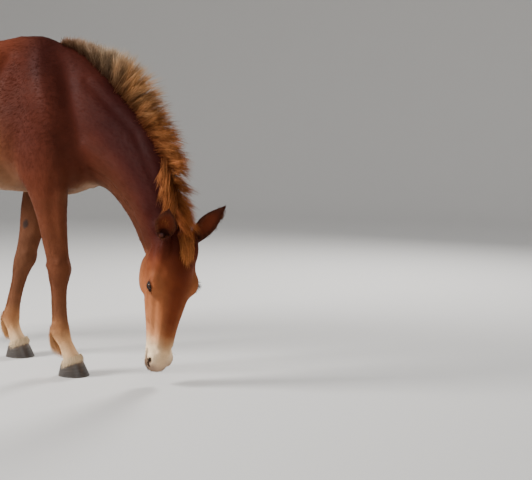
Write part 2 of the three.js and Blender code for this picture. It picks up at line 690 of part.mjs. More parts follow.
const headPiece = pieceAt(...inHead(250, 0, 0).toArray()).subtract(headCuts());
const headRoom = headFlesh(SEAM);
addNode('torso', pieceAt(-300, 0, 1000), COAT.colour, COAT.roughness);
const hindRoom = Object.values(LEGS).filter(({ table }) => table === HIND).map((leg) => legSolid(leg, SEAM));
const earRoom = union(Object.values(EARS).map((ear) => earLeaf(ear, EAR_OUTSIDE, SEAM)));
const mane = maneLocks().subtract(union([headRoom, earRoom, forelockLocks(SEAM)]));
const tail = tailSolid().subtract(union([torsoSolid(SEAM), ...hindRoom]));
addNode('neck', pieceAt(390, bend(390).y, 880).add(mane), COAT.colour, COAT.roughness);
addNode('head', headPiece.add(forelockLocks().subtract(earRoom)), COAT.colour, COAT.roughness);
addNode('tail', tail, COAT.colour, COAT.roughness);
for (const [name, ear] of Object.entries(EARS)) {
  const cup = earLeaf(ear, EAR_OUTSIDE).subtract(earLeaf(ear, EAR_INSIDE));
  addNode('ear_' + name, cup.subtract(headRoom), COAT.colour, COAT.roughness);
}
for (const [name, side] of [['left', 1], ['right', -1]]) {
  addNode('eye_' + name, ball(side, EYE_RADIUS), EYEBALL.colour, EYEBALL.roughness);
}
for (const [name, leg] of Object.entries(LEGS)) {
  const [x, y] = [lineAt(leg.line, 412), leg.side * 104];
  addNode(name.replace('_', 'leg_'), pieceAt(x, y, 412), LEG_COAT.colour, LEG_COAT.roughness);
  addNode('hoof_' + name, hoofSolid(leg), HORN.colour, HORN.roughness);
}

// The origin goes under the middle of the whole outline.
const outline = new THREE.Box3().setFromObject(group);
const centre = outline.getCenter(vec(0, 0, 0));
group.position.set(-centre.x, -centre.y, -outline.min.z);

export default group;
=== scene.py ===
import math

import bpy
import numpy as np
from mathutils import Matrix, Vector
from mathutils.kdtree import KDTree


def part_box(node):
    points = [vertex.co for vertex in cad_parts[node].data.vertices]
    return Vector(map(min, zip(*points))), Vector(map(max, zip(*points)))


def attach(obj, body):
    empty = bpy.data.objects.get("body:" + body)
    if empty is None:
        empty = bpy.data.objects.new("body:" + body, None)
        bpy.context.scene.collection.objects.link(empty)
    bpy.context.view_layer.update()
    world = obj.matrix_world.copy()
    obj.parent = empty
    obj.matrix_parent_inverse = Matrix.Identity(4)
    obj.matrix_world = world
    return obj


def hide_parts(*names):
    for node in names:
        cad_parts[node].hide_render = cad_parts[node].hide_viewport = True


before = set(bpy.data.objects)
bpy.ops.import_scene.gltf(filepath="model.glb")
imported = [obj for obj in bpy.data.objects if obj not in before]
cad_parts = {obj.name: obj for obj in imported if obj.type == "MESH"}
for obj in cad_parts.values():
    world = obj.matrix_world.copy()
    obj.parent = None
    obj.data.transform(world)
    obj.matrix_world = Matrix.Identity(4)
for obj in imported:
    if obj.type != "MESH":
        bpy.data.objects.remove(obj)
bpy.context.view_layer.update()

# The barrel and quarters. In life they are ribs, muscle and gut under one sheet of hide. Here they
# are ovals along the back, in metres, in the mule's own frame: x = 0 under the withers, +X towards
# the head, +Y to its left, the floor at z = 0.
BODY_SIDES = 56


def finer(table, steps):
    """Rows between the rows of a table, on a cubic through each column. The first column is the key."""
    table = np.array(table, float)
    key = table[:, :1]
    slope = np.empty_like(table)
    slope[1:-1] = (table[2:] - table[:-2]) / (key[2:] - key[:-2])
    slope[[0, -1]] = (table[[1, -1]] - table[[0, -2]]) / (key[[1, -1]] - key[[0, -2]])
    t = (np.arange(steps) / steps)[:, None]
    rows = []
    for low, high, leave, arrive in zip(table[:-1], table[1:], slope[:-1], slope[1:]):
        gap = high[0] - low[0]
        rows.append(
            low * (2 * t**3 - 3 * t**2 + 1)
            + high * (3 * t**2 - 2 * t**3)
            + leave * gap * (t**3 - 2 * t**2 + t)
            + arrive * gap * (t**3 - t**2)
        )
    return np.vstack([*rows, table[-1:]])


def row_at(fine, keys):
    """Rows of a fine table at given keys."""
    order = np.argsort(fine[:, 0])
    return np.stack([np.interp(keys, fine[order, 0], column) for column in fine[order].T], -1)


def oval_points(top, bottom, side, half, level, crown, keel, turn):
    """Points of ovals at a turn: 0 is the mule's left, a quarter turn the top."""
    c, s = np.cos(turn)[..., None], np.sin(turn)[..., None]
    half, level, crown, keel = (column[:, None, None] for column in (half, level, crown, keel))
    top, bottom, side = top[:, None], bottom[:, None], side[:, None]
    centre = top + (bottom - top) * level
    power = 2 / np.where(s > 0, crown, keel)
    across = half * np.sign(c) * np.abs(c) ** power
    return centre + side * across + np.where(s > 0, top - centre, bottom - centre) * np.abs(s) ** power


def unit(ways):
    """The same ways, each of length 1."""
    return ways / np.maximum(np.linalg.norm(ways, axis=-1, keepdims=True), 1e-12)


def mirrored(place, side):
    """A place on the mule's left as it is (1), or the same place on its right (-1)."""
    return place[0], place[1] * side, place[2]


def to_the_left(x):
    """The way to the mule's left, once for each station."""
    return np.tile((0.0, 1.0, 0.0), (len(x), 1))


def rings_of(ovals, rows, sides):
    turn = np.linspace(0, 2 * math.pi, sides, endpoint=False)[None]
    return oval_points(*ovals(rows), turn)


def domed(rings, start, end, steps=5):
    """The rings with a rounded end of a given depth at the start and the finish."""

    def cap(ring, inner, depth):
        centre = ring.mean(0)
        out = unit(centre - inner.mean(0))
        turn = (np.arange(1, steps + 1) / (steps + 0.4) * math.pi / 2)[:, None, None]
        return centre + out * depth * np.sin(turn) + (ring - centre) * np.cos(turn)

    first = [cap(rings[0], rings[1], start)[::-1]] if start else []
    last = [cap(rings[-1], rings[-2], end)] if end else []
    return np.concatenate([*first, rings, *last])


def loft(rings):
    """A closed surface through the rings, each end closed by a fan."""
    count, sides = rings.shape[:2]
    points = np.vstack([rings.reshape(-1, 3), rings[0].mean(0), rings[-1].mean(0)])
    i = np.arange(sides)
    j = (i + 1) % sides
    row = (np.arange(count - 1) * sides)[:, None]
    a, b = (row + i).ravel(), (row + j).ravel()
    end = (count - 1) * sides
    faces = np.concatenate([
        np.stack([a, b, a + sides], 1),
        np.stack([b, b + sides, a + sides], 1),
        np.stack([np.full(sides, count * sides), j, i], 1),
        np.stack([np.full(sides, count * sides + 1), end + i, end + j], 1),
    ])
    corner = points[faces]
    if np.einsum("ij,ij->", corner[:, 0], np.cross(corner[:, 1], corner[:, 2])) < 0:
        faces = faces[:, ::-1]
    return points, faces


def egg(place, radii, to_own=lambda points: points, detail=20):
    """A rounded mass of flesh or bone with its own three radii."""
    rise = np.linspace(-math.pi / 2, math.pi / 2, detail)[1:-1]
    turn = np.linspace(0, 2 * math.pi, detail, endpoint=False)
    ring = np.stack([np.outer(np.cos(rise), np.cos(turn)), np.outer(np.cos(rise), np.sin(turn)),
                     np.repeat(np.sin(rise)[:, None], detail, 1)], -1)
    return loft(to_own(ring * radii + place))


# x, top line, under line, half width, level of the widest place, crown, keel
TORSO = finer([
    (0.226, 0.985, 0.732, 0.100, 0.5, 2, 2.2),
    (0.180, 1.126, 0.708, 0.126, 0.52, 2, 2.2),
    (0.110, 1.250, 0.690, 0.146, 0.55, 1.7, 2.2),
    (0.030, 1.304, 0.690, 0.158, 0.58, 1.5, 2.2),
    (-0.050, 1.310, 0.696, 0.166, 0.6, 1.5, 2.1),
    (-0.160, 1.308, 0.702, 0.178, 0.58, 1.7, 2.1),
    (-0.300, 1.294, 0.710, 0.190, 0.55, 1.9, 2.1),
    (-0.450, 1.284, 0.726, 0.194, 0.52, 2, 2.1),
    (-0.580, 1.294, 0.752, 0.188, 0.48, 2.1, 2.1),
    (-0.690, 1.314, 0.792, 0.180, 0.42, 2.1, 2.1),
    (-0.800, 1.314, 0.840, 0.176, 0.4, 2, 2.1),
    (-0.900, 1.270, 0.890, 0.154, 0.42, 1.9, 2.1),
    (-0.975, 1.200, 0.944, 0.112, 0.45, 1.9, 2.1),
], 5)
BREAST_MASS = ((0.176, 0.066, 0.822), (0.066, 0.056, 0.112))
BUTTOCK_MASS = ((-0.912, 0.084, 1.074), (0.092, 0.068, 0.150))


def torso_ovals(rows):
    x, top, bottom, half, level, crown, keel = rows.T
    middle = np.zeros_like(x)
    return (np.stack([x, middle, top], 1), np.stack([x, middle, bottom], 1), to_the_left(x),
            half, level, crown, keel)


solids = [loft(domed(rings_of(torso_ovals, TORSO, BODY_SIDES), start=0.032, end=0.040))]
for side in (-1, 1):
    for place, radii in (BREAST_MASS, BUTTOCK_MASS):
        solids.append(egg(mirrored(place, side), radii))

# The dock, the root of the tail: x, z and radius down its line
DOCK = [
    (0, -0.956, 1.196, 0.026),
    (1, -1.000, 1.172, 0.032),
    (2, -1.038, 1.120, 0.030),
    (3, -1.056, 1.040, 0.025),
    (4, -1.062, 0.950, 0.018),
    (5, -1.064, 0.890, 0.011),
]
DOCK_SIDES = 28


def dock_ovals(rows):
    _, x, z, radius = rows.T
    run = unit(np.stack([np.gradient(x), np.zeros_like(x), np.gradient(z)], 1))
    back = np.stack([run[:, 2], np.zeros_like(x), -run[:, 0]], 1) * radius[:, None]
    middle = np.stack([x, np.zeros_like(x), z], 1)
    round_one = np.full(len(x), 2.0)
    return (middle + back, middle - back, to_the_left(x), radius, np.full(len(x), 0.5), round_one,
            round_one)


solids.append(loft(rings_of(dock_ovals, finer(DOCK, 4), DOCK_SIDES)))

# The neck. It is a deep, narrow wall of muscle that hangs from the withers to the poll and bends a
# little to the mule's right, as the photo's does.
BEND_START, BEND_REACH, BEND_SIDE, BEND_POWER = 0.060, 0.560, 0.130, 1.6
# Station, crest x and z, throat x and z, half width, level, crown, keel
NECK = finer([
    (0, -0.020, 1.280, 0.060, 0.830, 0.072, 0.5, 1.6, 2),
    (1, 0.090, 1.292, 0.160, 0.764, 0.088, 0.55, 1.6, 2),
    (2, 0.190, 1.246, 0.232, 0.726, 0.088, 0.56, 1.7, 2),
    (3, 0.295, 1.164, 0.292, 0.722, 0.080, 0.56, 1.7, 2),
    (4, 0.390, 1.072, 0.350, 0.686, 0.071, 0.55, 1.7, 2.1),
    (5, 0.480, 0.982, 0.402, 0.634, 0.064, 0.53, 1.7, 2.1),
    (6, 0.555, 0.888, 0.440, 0.582, 0.059, 0.5, 1.75, 2.1),
    (7, 0.608, 0.786, 0.468, 0.530, 0.057, 0.5, 1.8, 2.1),
    (8, 0.640, 0.684, 0.492, 0.482, 0.056, 0.5, 1.8, 2.1),
    (9, 0.654, 0.620, 0.520, 0.452, 0.054, 0.5, 1.9, 2.1),
], 5)


def neck_bend(x):
    share = np.maximum(0, (x - BEND_START) / BEND_REACH)
    slope = BEND_SIDE * BEND_POWER * share ** (BEND_POWER - 1) / BEND_REACH
    return -BEND_SIDE * share**BEND_POWER, -np.arctan(slope)


def neck_ovals(rows):
    _, cx, cz, tx, tz, half, level, crown, keel = rows.T
    (cy, crest_yaw), (ty, throat_yaw) = neck_bend(cx), neck_bend(tx)
    yaw = (crest_yaw + throat_yaw) / 2
    side = np.stack([-np.sin(yaw), np.cos(yaw), np.zeros_like(yaw)], 1)
    return (np.stack([cx, cy, cz], 1), np.stack([tx, ty, tz], 1), side, half, level, crown, keel)


solids.append(loft(domed(rings_of(neck_ovals, NECK, BODY_SIDES), start=0, end=0.020)))

# The head, in a frame of its own: x from the poll to the lips, y to the mule's left, z out of the
# face. It hangs low, a little tucked, and is turned to the right.
POLL = np.array((0.648, -0.141, 0.583))
HEAD_YAW, HEAD_TUCK, HEAD_ROLL = math.radians(-34), math.radians(8), math.radians(-5)
HEAD_LENGTH = 0.545
HEAD_SIDES = 72

head_side = np.array((-math.sin(HEAD_YAW), math.cos(HEAD_YAW), 0))
head_ahead = np.cross(head_side, (0, 0, 1))
head_down = -math.sin(HEAD_TUCK) * head_ahead - math.cos(HEAD_TUCK) * np.array((0, 0, 1))
head_face = math.cos(HEAD_TUCK) * head_ahead - math.sin(HEAD_TUCK) * np.array((0, 0, 1))
HEAD_AXES = np.stack([
    math.cos(HEAD_ROLL) * head_down + math.sin(HEAD_ROLL) * head_side,
    -math.sin(HEAD_ROLL) * head_down + math.cos(HEAD_ROLL) * head_side,
    head_face,
])


def from_head(points):
    return POLL + np.asarray(points) @ HEAD_AXES


def to_head(points):
    return (points - POLL) @ HEAD_AXES.T


# Distance from the poll, face line, jaw line, half width, level, crown, keel
HEAD = finer([
    (0.010, 0.016, -0.084, 0.050, 0.45, 2, 2),
    (0.045, 0.033, -0.106, 0.067, 0.42, 2.1, 2),
    (0.095, 0.047, -0.124, 0.083, 0.38, 2.3, 1.9),
    (0.150, 0.056, -0.138, 0.092, 0.34, 2.5, 1.8),
    (0.200, 0.057, -0.140, 0.091, 0.32, 2.5, 1.8),
    (0.250, 0.053, -0.132, 0.080, 0.34, 2.3, 1.9),
    (0.310, 0.045, -0.116, 0.067, 0.38, 2.1, 2.1),
    (0.370, 0.037, -0.098, 0.055, 0.42, 2, 2.2),
    (0.430, 0.030, -0.082, 0.048, 0.46, 2.1, 2.2),
    (0.475, 0.025, -0.074, 0.048, 0.46, 2.2, 2.2),
    (0.510, 0.014, -0.066, 0.046, 0.48, 2.2, 2.2),
    (0.532, 0.000, -0.052, 0.036, 0.5, 2.1, 2.1),
], 6)
# Place and radii of the masses on each side of the head
HEAD_MASSES = {
    "cheek": ((0.186, 0.050, -0.076), (0.093, 0.031, 0.061)),
    "orbit": ((0.197, 0.073, 0.015), (0.052, 0.030, 0.032)),
    "temple": ((0.084, 0.056, 0.014), (0.068, 0.029, 0.027)),
    "facial crest": ((0.290, 0.060, -0.026), (0.066, 0.010, 0.009)),
    "nostril wall": ((0.486, 0.032, -0.006), (0.036, 0.019, 0.025)),
}
CHIN = ((0.492, 0, -0.062), (0.030, 0.027, 0.017))
# Eye: the ball's centre, which way it looks, its radius and the lids over it
EYE_PLACE = (0.204, 0.085, 0.010)
EYE_LOOK = (0.24, 0.88, 0.41)
EYE_RADIUS = 0.019
LID = 0.0032


def head_ovals(rows):
    x, face, jaw, half, level, crown, keel = rows.T
    middle = np.zeros_like(x)
    side = np.tile(HEAD_AXES[1], (len(x), 1))
    return (from_head(np.stack([x, middle, face], 1)), from_head(np.stack([x, middle, jaw], 1)), side,
            half, level, crown, keel)


solids.append(loft(domed(rings_of(head_ovals, HEAD, HEAD_SIDES), start=0.024, end=HEAD_LENGTH - 0.532)))
for side in (-1, 1):
    for place, radii in HEAD_MASSES.values():
        solids.append(egg(mirrored(place, side), radii, from_head, detail=28))
    solids.append(egg(mirrored(EYE_PLACE, side), EYE_RADIUS + LID, from_head, detail=32))
solids.append(egg(*CHIN, from_head))

# The ears: long and stiff, gristle under thin hide. Each is a tube at its root that opens into a
# cup. The left one points out over the mule's shoulder, the right one turns its cup to the front.
EARS = {
    "left": {"root": (0.034, 0.066, 0), "aim": (-0.8, 0.54, 0.25), "open": (0.3, -0.2, 0.9)},
    "right": {"root": (0.030, -0.062, 0), "aim": (-0.7, -0.33, 0.63), "open": (0.62, -0.5, 0.6)},
}
EAR_LENGTH = 0.172
# Share of the length, half width, how far back and how far forward from the ear's line, half of
# the opening in degrees, thickness
EAR = finer([
    (0, 0.028, 0.022, 0.017, 8, 0.010),
    (0.12, 0.032, 0.024, 0.019, 22, 0.009),
    (0.28, 0.038, 0.025, 0.015, 58, 0.0075),
    (0.45, 0.040, 0.023, 0.010, 74, 0.0065),
    (0.62, 0.034, 0.017, 0.006, 78, 0.006),
    (0.78, 0.023, 0.011, 0.004, 80, 0.0055),
    (0.9, 0.012, 0.007, 0.003, 80, 0.005),
    (1, 0.004, 0.004, 0.003, 80, 0.003),
], 4)
EAR_WALK = 22


def ear_axes(ear):
    """Rows: along the ear, across it and out of its cup."""
    along = unit(np.array(ear["aim"]))
    out = unit(np.array(ear["open"]) - along * np.dot(along, ear["open"]))
    return np.stack([along, np.cross(out, along), out])


def ear_shell(ear):
    """One closed wall: round the outside from edge to edge, and back along the inside."""
    rings = []
    for share, half, back, fore, opening, wall in EAR:
        gap = math.radians(opening)
        turn = np.linspace(math.pi / 2 + gap, math.pi * 2.5 - gap, EAR_WALK)
        deep = np.where(np.sin(turn) > 0, fore, back)
        outside = np.stack([half * np.cos(turn), deep * np.sin(turn)], 1)
        inward = -np.stack([np.cos(turn) / half, np.sin(turn) / deep], 1)
        inside = outside + wall * inward / np.linalg.norm(inward, axis=1)[:, None]
        flat = np.vstack([outside, inside[::-1]])
        rings.append(np.column_stack([np.full(len(flat), share * EAR_LENGTH), flat]))
    return loft(from_head(np.array(rings) @ ear_axes(ear) + ear["root"]))


for ear in EARS.values():
    solids.append(ear_shell(ear))

# The legs: bone, tendon and hide from the shoulder and hip down to the coronet, where the hoof
# begins. The right forefoot is ahead and the left one behind, so the mule is between two steps.
LEG_SIDES = 44
# Height, front and back from the leg's line, half width, distance out from the middle plane,
# crown, keel
FORE = finer([
    (1.190, 0.034, 0.056, 0.018, 0.072, 2, 2),
    (1.090, 0.078, 0.084, 0.030, 0.098, 2, 2),
    (0.980, 0.104, 0.102, 0.044, 0.119, 2, 2),
    (0.880, 0.116, 0.108, 0.050, 0.126, 2, 2),
    (0.800, 0.108, 0.108, 0.052, 0.126, 2, 2.1),
    (0.740, 0.094, 0.098, 0.051, 0.123, 2, 2.1),
    (0.690, 0.082, 0.084, 0.048, 0.119, 2, 2.1),
    (0.630, 0.068, 0.070, 0.043, 0.114, 2, 2),
    (0.570, 0.059, 0.060, 0.039, 0.110, 2, 2),
    (0.510, 0.053, 0.053, 0.036, 0.106, 2, 2.1),
    (0.455, 0.048, 0.048, 0.035, 0.104, 2.2, 2.2),
    (0.412, 0.050, 0.046, 0.038, 0.104, 2.5, 2.4),
    (0.374, 0.042, 0.042, 0.034, 0.104, 2.3, 2.3),
    (0.335, 0.035, 0.036, 0.026, 0.104, 2.1, 2.1),
    (0.270, 0.032, 0.035, 0.023, 0.104, 2, 2.2),
    (0.215, 0.034, 0.036, 0.024, 0.104, 2, 2.2),
    (0.182, 0.038, 0.040, 0.028, 0.104, 2.1, 2.1),
    (0.158, 0.038, 0.044, 0.030, 0.104, 2.1, 2.1),
    (0.128, 0.034, 0.036, 0.027, 0.104, 2.1, 2.1),
    (0.100, 0.034, 0.032, 0.028, 0.104, 2.1, 2.1),
    (0.072, 0.038, 0.034, 0.033, 0.104, 2.1, 2.1),
    (0.050, 0.038, 0.040, 0.034, 0.104, 2.1, 2.1),
    (0.028, 0.034, 0.038, 0.032, 0.104, 2.1, 2.1),
], 4)
HIND = finer([
    (1.190, 0.110, 0.090, 0.040, 0.092, 2, 2),
    (1.090, 0.166, 0.146, 0.064, 0.104, 2, 2),
    (0.980, 0.180, 0.160, 0.080, 0.108, 2, 2),
    (0.890, 0.172, 0.152, 0.082, 0.110, 2, 2),
    (0.810, 0.142, 0.136, 0.072, 0.112, 2, 2),
    (0.740, 0.108, 0.114, 0.059, 0.112, 2, 2),
    (0.670, 0.080, 0.090, 0.047, 0.111, 2, 1.9),
    (0.605, 0.058, 0.073, 0.038, 0.109, 2, 1.7),
    (0.555, 0.048, 0.066, 0.033, 0.107, 2.1, 1.8),
    (0.510, 0.046, 0.055, 0.037, 0.107, 2.3, 2.1),
    (0.462, 0.041, 0.041, 0.036, 0.107, 2.3, 2.2),
    (0.420, 0.033, 0.036, 0.029, 0.107, 2.1, 2.1),
    (0.340, 0.029, 0.033, 0.023, 0.107, 2, 2.1),
    (0.250, 0.029, 0.035, 0.023, 0.107, 2, 2.2),
    (0.200, 0.034, 0.039, 0.027, 0.107, 2.1, 2.1),
    (0.166, 0.036, 0.043, 0.030, 0.107, 2.1, 2.1),
    (0.130, 0.032, 0.035, 0.027, 0.107, 2.1, 2.1),
    (0.100, 0.033, 0.031, 0.027, 0.107, 2.1, 2.1),
    (0.072, 0.037, 0.034, 0.032, 0.107, 2.1, 2.1),
    (0.050, 0.037, 0.040, 0.033, 0.107, 2.1, 2.1),
    (0.028, 0.033, 0.038, 0.031, 0.107, 2.1, 2.1),
], 4)
# Height and x of each leg's line, from the coronet up into the body
LEGS = {
    "fore_right": {"side": -1, "table": FORE, "line": [
        (0.050, 0.174), (0.066, 0.168), (0.100, 0.152), (0.158, 0.124), (0.215, 0.120),
        (0.335, 0.118), (0.412, 0.120), (0.510, 0.108), (0.630, 0.098), (0.740, 0.086),
        (0.880, 0.052), (1.080, 0.004), (1.190, -0.036)]},
    "fore_left": {"side": 1, "table": FORE, "line": [
        (0.050, -0.216), (0.066, -0.222), (0.100, -0.238), (0.158, -0.254), (0.215, -0.242),
        (0.335, -0.206), (0.412, -0.180), (0.510, -0.150), (0.630, -0.124), (0.740, -0.080),
        (0.880, -0.012), (1.080, -0.006), (1.190, -0.036)]},
    "hind_right": {"side": -1, "table": HIND, "line": [
        (0.050, -0.894), (0.066, -0.900), (0.100, -0.918), (0.166, -0.946), (0.250, -0.950),
        (0.420, -0.952), (0.510, -0.942), (0.605, -0.900), (0.740, -0.824), (0.890, -0.792),
        (1.080, -0.806), (1.190, -0.824)]},
    "hind_left": {"side": 1, "table": HIND, "line": [
        (0.050, -0.714), (0.066, -0.720), (0.100, -0.738), (0.166, -0.768), (0.250, -0.782),
        (0.420, -0.816), (0.510, -0.822), (0.605, -0.806), (0.740, -0.770), (0.890, -0.776),
        (1.080, -0.804), (1.190, -0.824)]},
}


def leg_ovals(leg):
    def ovals(rows):
        height, front, back, half, out, crown, keel = rows.T
        x = row_at(leg["path"], height)[:, 1]
        y = leg["side"] * out
        return (np.stack([x + front, y, height], 1), np.stack([x - back, y, height], 1),
                to_the_left(x), half, np.full(len(x), 0.5), crown, keel)

    return ovals


for leg in LEGS.values():
    leg["path"] = finer(leg["line"], 6)
    leg["ovals"] = leg_ovals(leg)
    solids.append(loft(rings_of(leg["ovals"], leg["table"], LEG_SIDES)))

# One hide over all of it. The forms are run together as one fine mesh, finest on the face, and
# the creases between them are filled the way skin and fat fill them.
# Length of the mesh's edges, away from the lenses
VOXEL = 0.0058
# Centre in the mule's own frame, radius and enlargement of the places that are drawn finer
LENSES = [
    (from_head((0.190, 0, -0.020)), 0.380, 1.6),
    *[(from_head(mirrored(EYE_PLACE, side)), 0.036, 1.6) for side in (-1, 1)],
    (from_head((0.500, 0, -0.020)), 0.070, 1.4),
]


def enlarged(points, lenses):
    """The points as seen through the lenses, and each lens's centre where the ones before put it."""
    centres = []
    for i, (centre, radius, power) in enumerate(lenses):
        centre = np.array(centre, float)[None]
        for (_, before_radius, before_power), before in zip(lenses[:i], centres):
            centre = through(centre, before, before_radius, before_power)
        centres.append(centre[0])
    for centre, (_, radius, power) in zip(centres, lenses):
        points = through(points, centre, radius, power)
    return points, centres


def through(points, centre, radius, power):
    arm = points - centre
    far = np.maximum(np.linalg.norm(arm, axis=1, keepdims=True), 1e-9)
    return centre + arm / far * np.minimum(far * power, far + radius * (power - 1))


def back_through(points, centre, radius, power):
    arm = points - centre
    far = np.maximum(np.linalg.norm(arm, axis=1, keepdims=True), 1e-9)
    return centre + arm / far * np.where(far < radius * power, far / power, far - radius * (power - 1))


def plain_mesh(name, points, corners, starts):
    mesh = bpy.data.meshes.new(name)
    mesh.vertices.add(len(points))
    mesh.vertices.foreach_set("co", np.asarray(points, np.float32).ravel())
    mesh.loops.add(len(corners))
    mesh.loops.foreach_set("vertex_index", np.asarray(corners, np.int32))
    mesh.polygons.add(len(starts))
    mesh.polygons.foreach_set("loop_start", np.asarray(starts, np.int32))
    mesh.polygons.foreach_set("use_smooth", np.ones(len(starts), bool))
    mesh.update(calc_edges=True)
    return mesh


def mesh_of(name, points, faces):
    """A mesh whose faces all have the same number of corners."""
    return plain_mesh(name, points, faces.ravel(), np.arange(len(faces)) * faces.shape[1])


def hide_over(solids):
    """The outer skin of all the solids as (points, quads, edges)."""
    offsets = np.cumsum([0] + [len(points) for points, _ in solids])[:-1]
    points = np.vstack([points for points, _ in solids])
    faces = np.vstack([faces + start for (_, faces), start in zip(solids, offsets)])
    points, centres = enlarged(points, LENSES)
    forms = bpy.data.objects.new("forms", mesh_of("forms", points, faces))
    bpy.context.scene.collection.objects.link(forms)
    remesh = forms.modifiers.new("skin", "REMESH")
    remesh.mode = "VOXEL"
    remesh.voxel_size = VOXEL
    whole = forms.evaluated_get(bpy.context.evaluated_depsgraph_get()).to_mesh()
    co = np.empty(len(whole.vertices) * 3, np.float32)
    whole.vertices.foreach_get("co", co)
    co = co.reshape(-1, 3).astype(float)
    corners = np.empty(len(whole.loops), np.int32)
    whole.loops.foreach_get("vertex_index", corners)
    edges = np.empty(len(whole.edges) * 2, np.int32)
    whole.edges.foreach_get("vertices", edges)
    bpy.data.objects.remove(forms)
    for centre, (_, radius, power) in reversed(list(zip(centres, LENSES))):
        co = back_through(co, centre, radius, power)
    return co, corners.reshape(-1, 4), edges.reshape(-1, 2)


skin_points, skin_quads, skin_edges = hide_over(solids)


def relaxed(points, edges, weight, rounds):
    """Each point moved towards the middle of its neighbours, by its weight, several times."""
    count = np.bincount(edges.ravel(), minlength=len(points))
    a, b = edges.T
    for _ in range(rounds):
        total = np.stack([
            np.bincount(a, points[b, k], len(points)) + np.bincount(b, points[a, k], len(points))
            for k in range(3)
        ], 1)
        points = points + weight[:, None] * (total / count[:, None] - points)
    return points


def near(points, places, reach):
    """1 at the places, falling to 0 over the reach."""
    gap = np.min([np.linalg.norm(points - place, axis=1) for place in places], axis=0)
    return np.exp(-((gap / reach) ** 2))


def on_both_sides(places):
    return [mirrored(place, side) for side in (-1, 1) for place in places]


# Where the hide fills a hollow between two masses: places and reach
JOINS = [
    (on_both_sides([(0.10, 0, 1.27), (0.13, 0.1, 1.15), (0.17, 0.1, 1.0), (0.21, 0.09, 0.87),
                    (0.22, 0, 0.74)]), 0.11),
    (on_both_sides([(0.10, 0.12, 1.08), (0.10, 0.14, 0.92), (0.12, 0.14, 0.78), (-0.09, 0.15, 0.95),
                    (-0.10, 0.15, 0.80), (0.0, 0.15, 1.1), (0.02, 0.06, 0.70)]), 0.10),
    (on_both_sides([(-0.62, 0.15, 1.06), (-0.60, 0.15, 0.92), (-0.62, 0.12, 0.80),
                    (-0.76, 0.16, 1.15), (-0.93, 0.12, 1.10), (-0.94, 0.10, 0.95),
                    (-0.80, 0.04, 0.85), (-0.66, 0.13, 1.21)]), 0.11),
    (from_head(on_both_sides([(-0.01, 0, -0.01), (0.03, 0.06, -0.07), (0.07, 0, -0.13),
                              (0.01, 0.05, -0.03)])), 0.045),
    (from_head(on_both_sides([(0.262, 0.074, 0.006), (0.250, 0.060, 0.040), (0.140, 0.080, 0.030),
                              (0.190, 0.056, 0.056), (0.268, 0.060, -0.085)])), 0.030),
]
# Share of the way that a point moves in a round, and the number of rounds
FILLING, FILL_ROUNDS = 0.62, 84
SOFTENING, SOFT_ROUNDS = 0.4, 6
fill = np.max([near(skin_points, places, reach) for places, reach in JOINS], axis=0)
skin_points = relaxed(skin_points, skin_edges, FILLING * fill, FILL_ROUNDS)
skin_points = relaxed(skin_points, skin_edges, np.full(len(skin_points), SOFTENING), SOFT_ROUNDS)

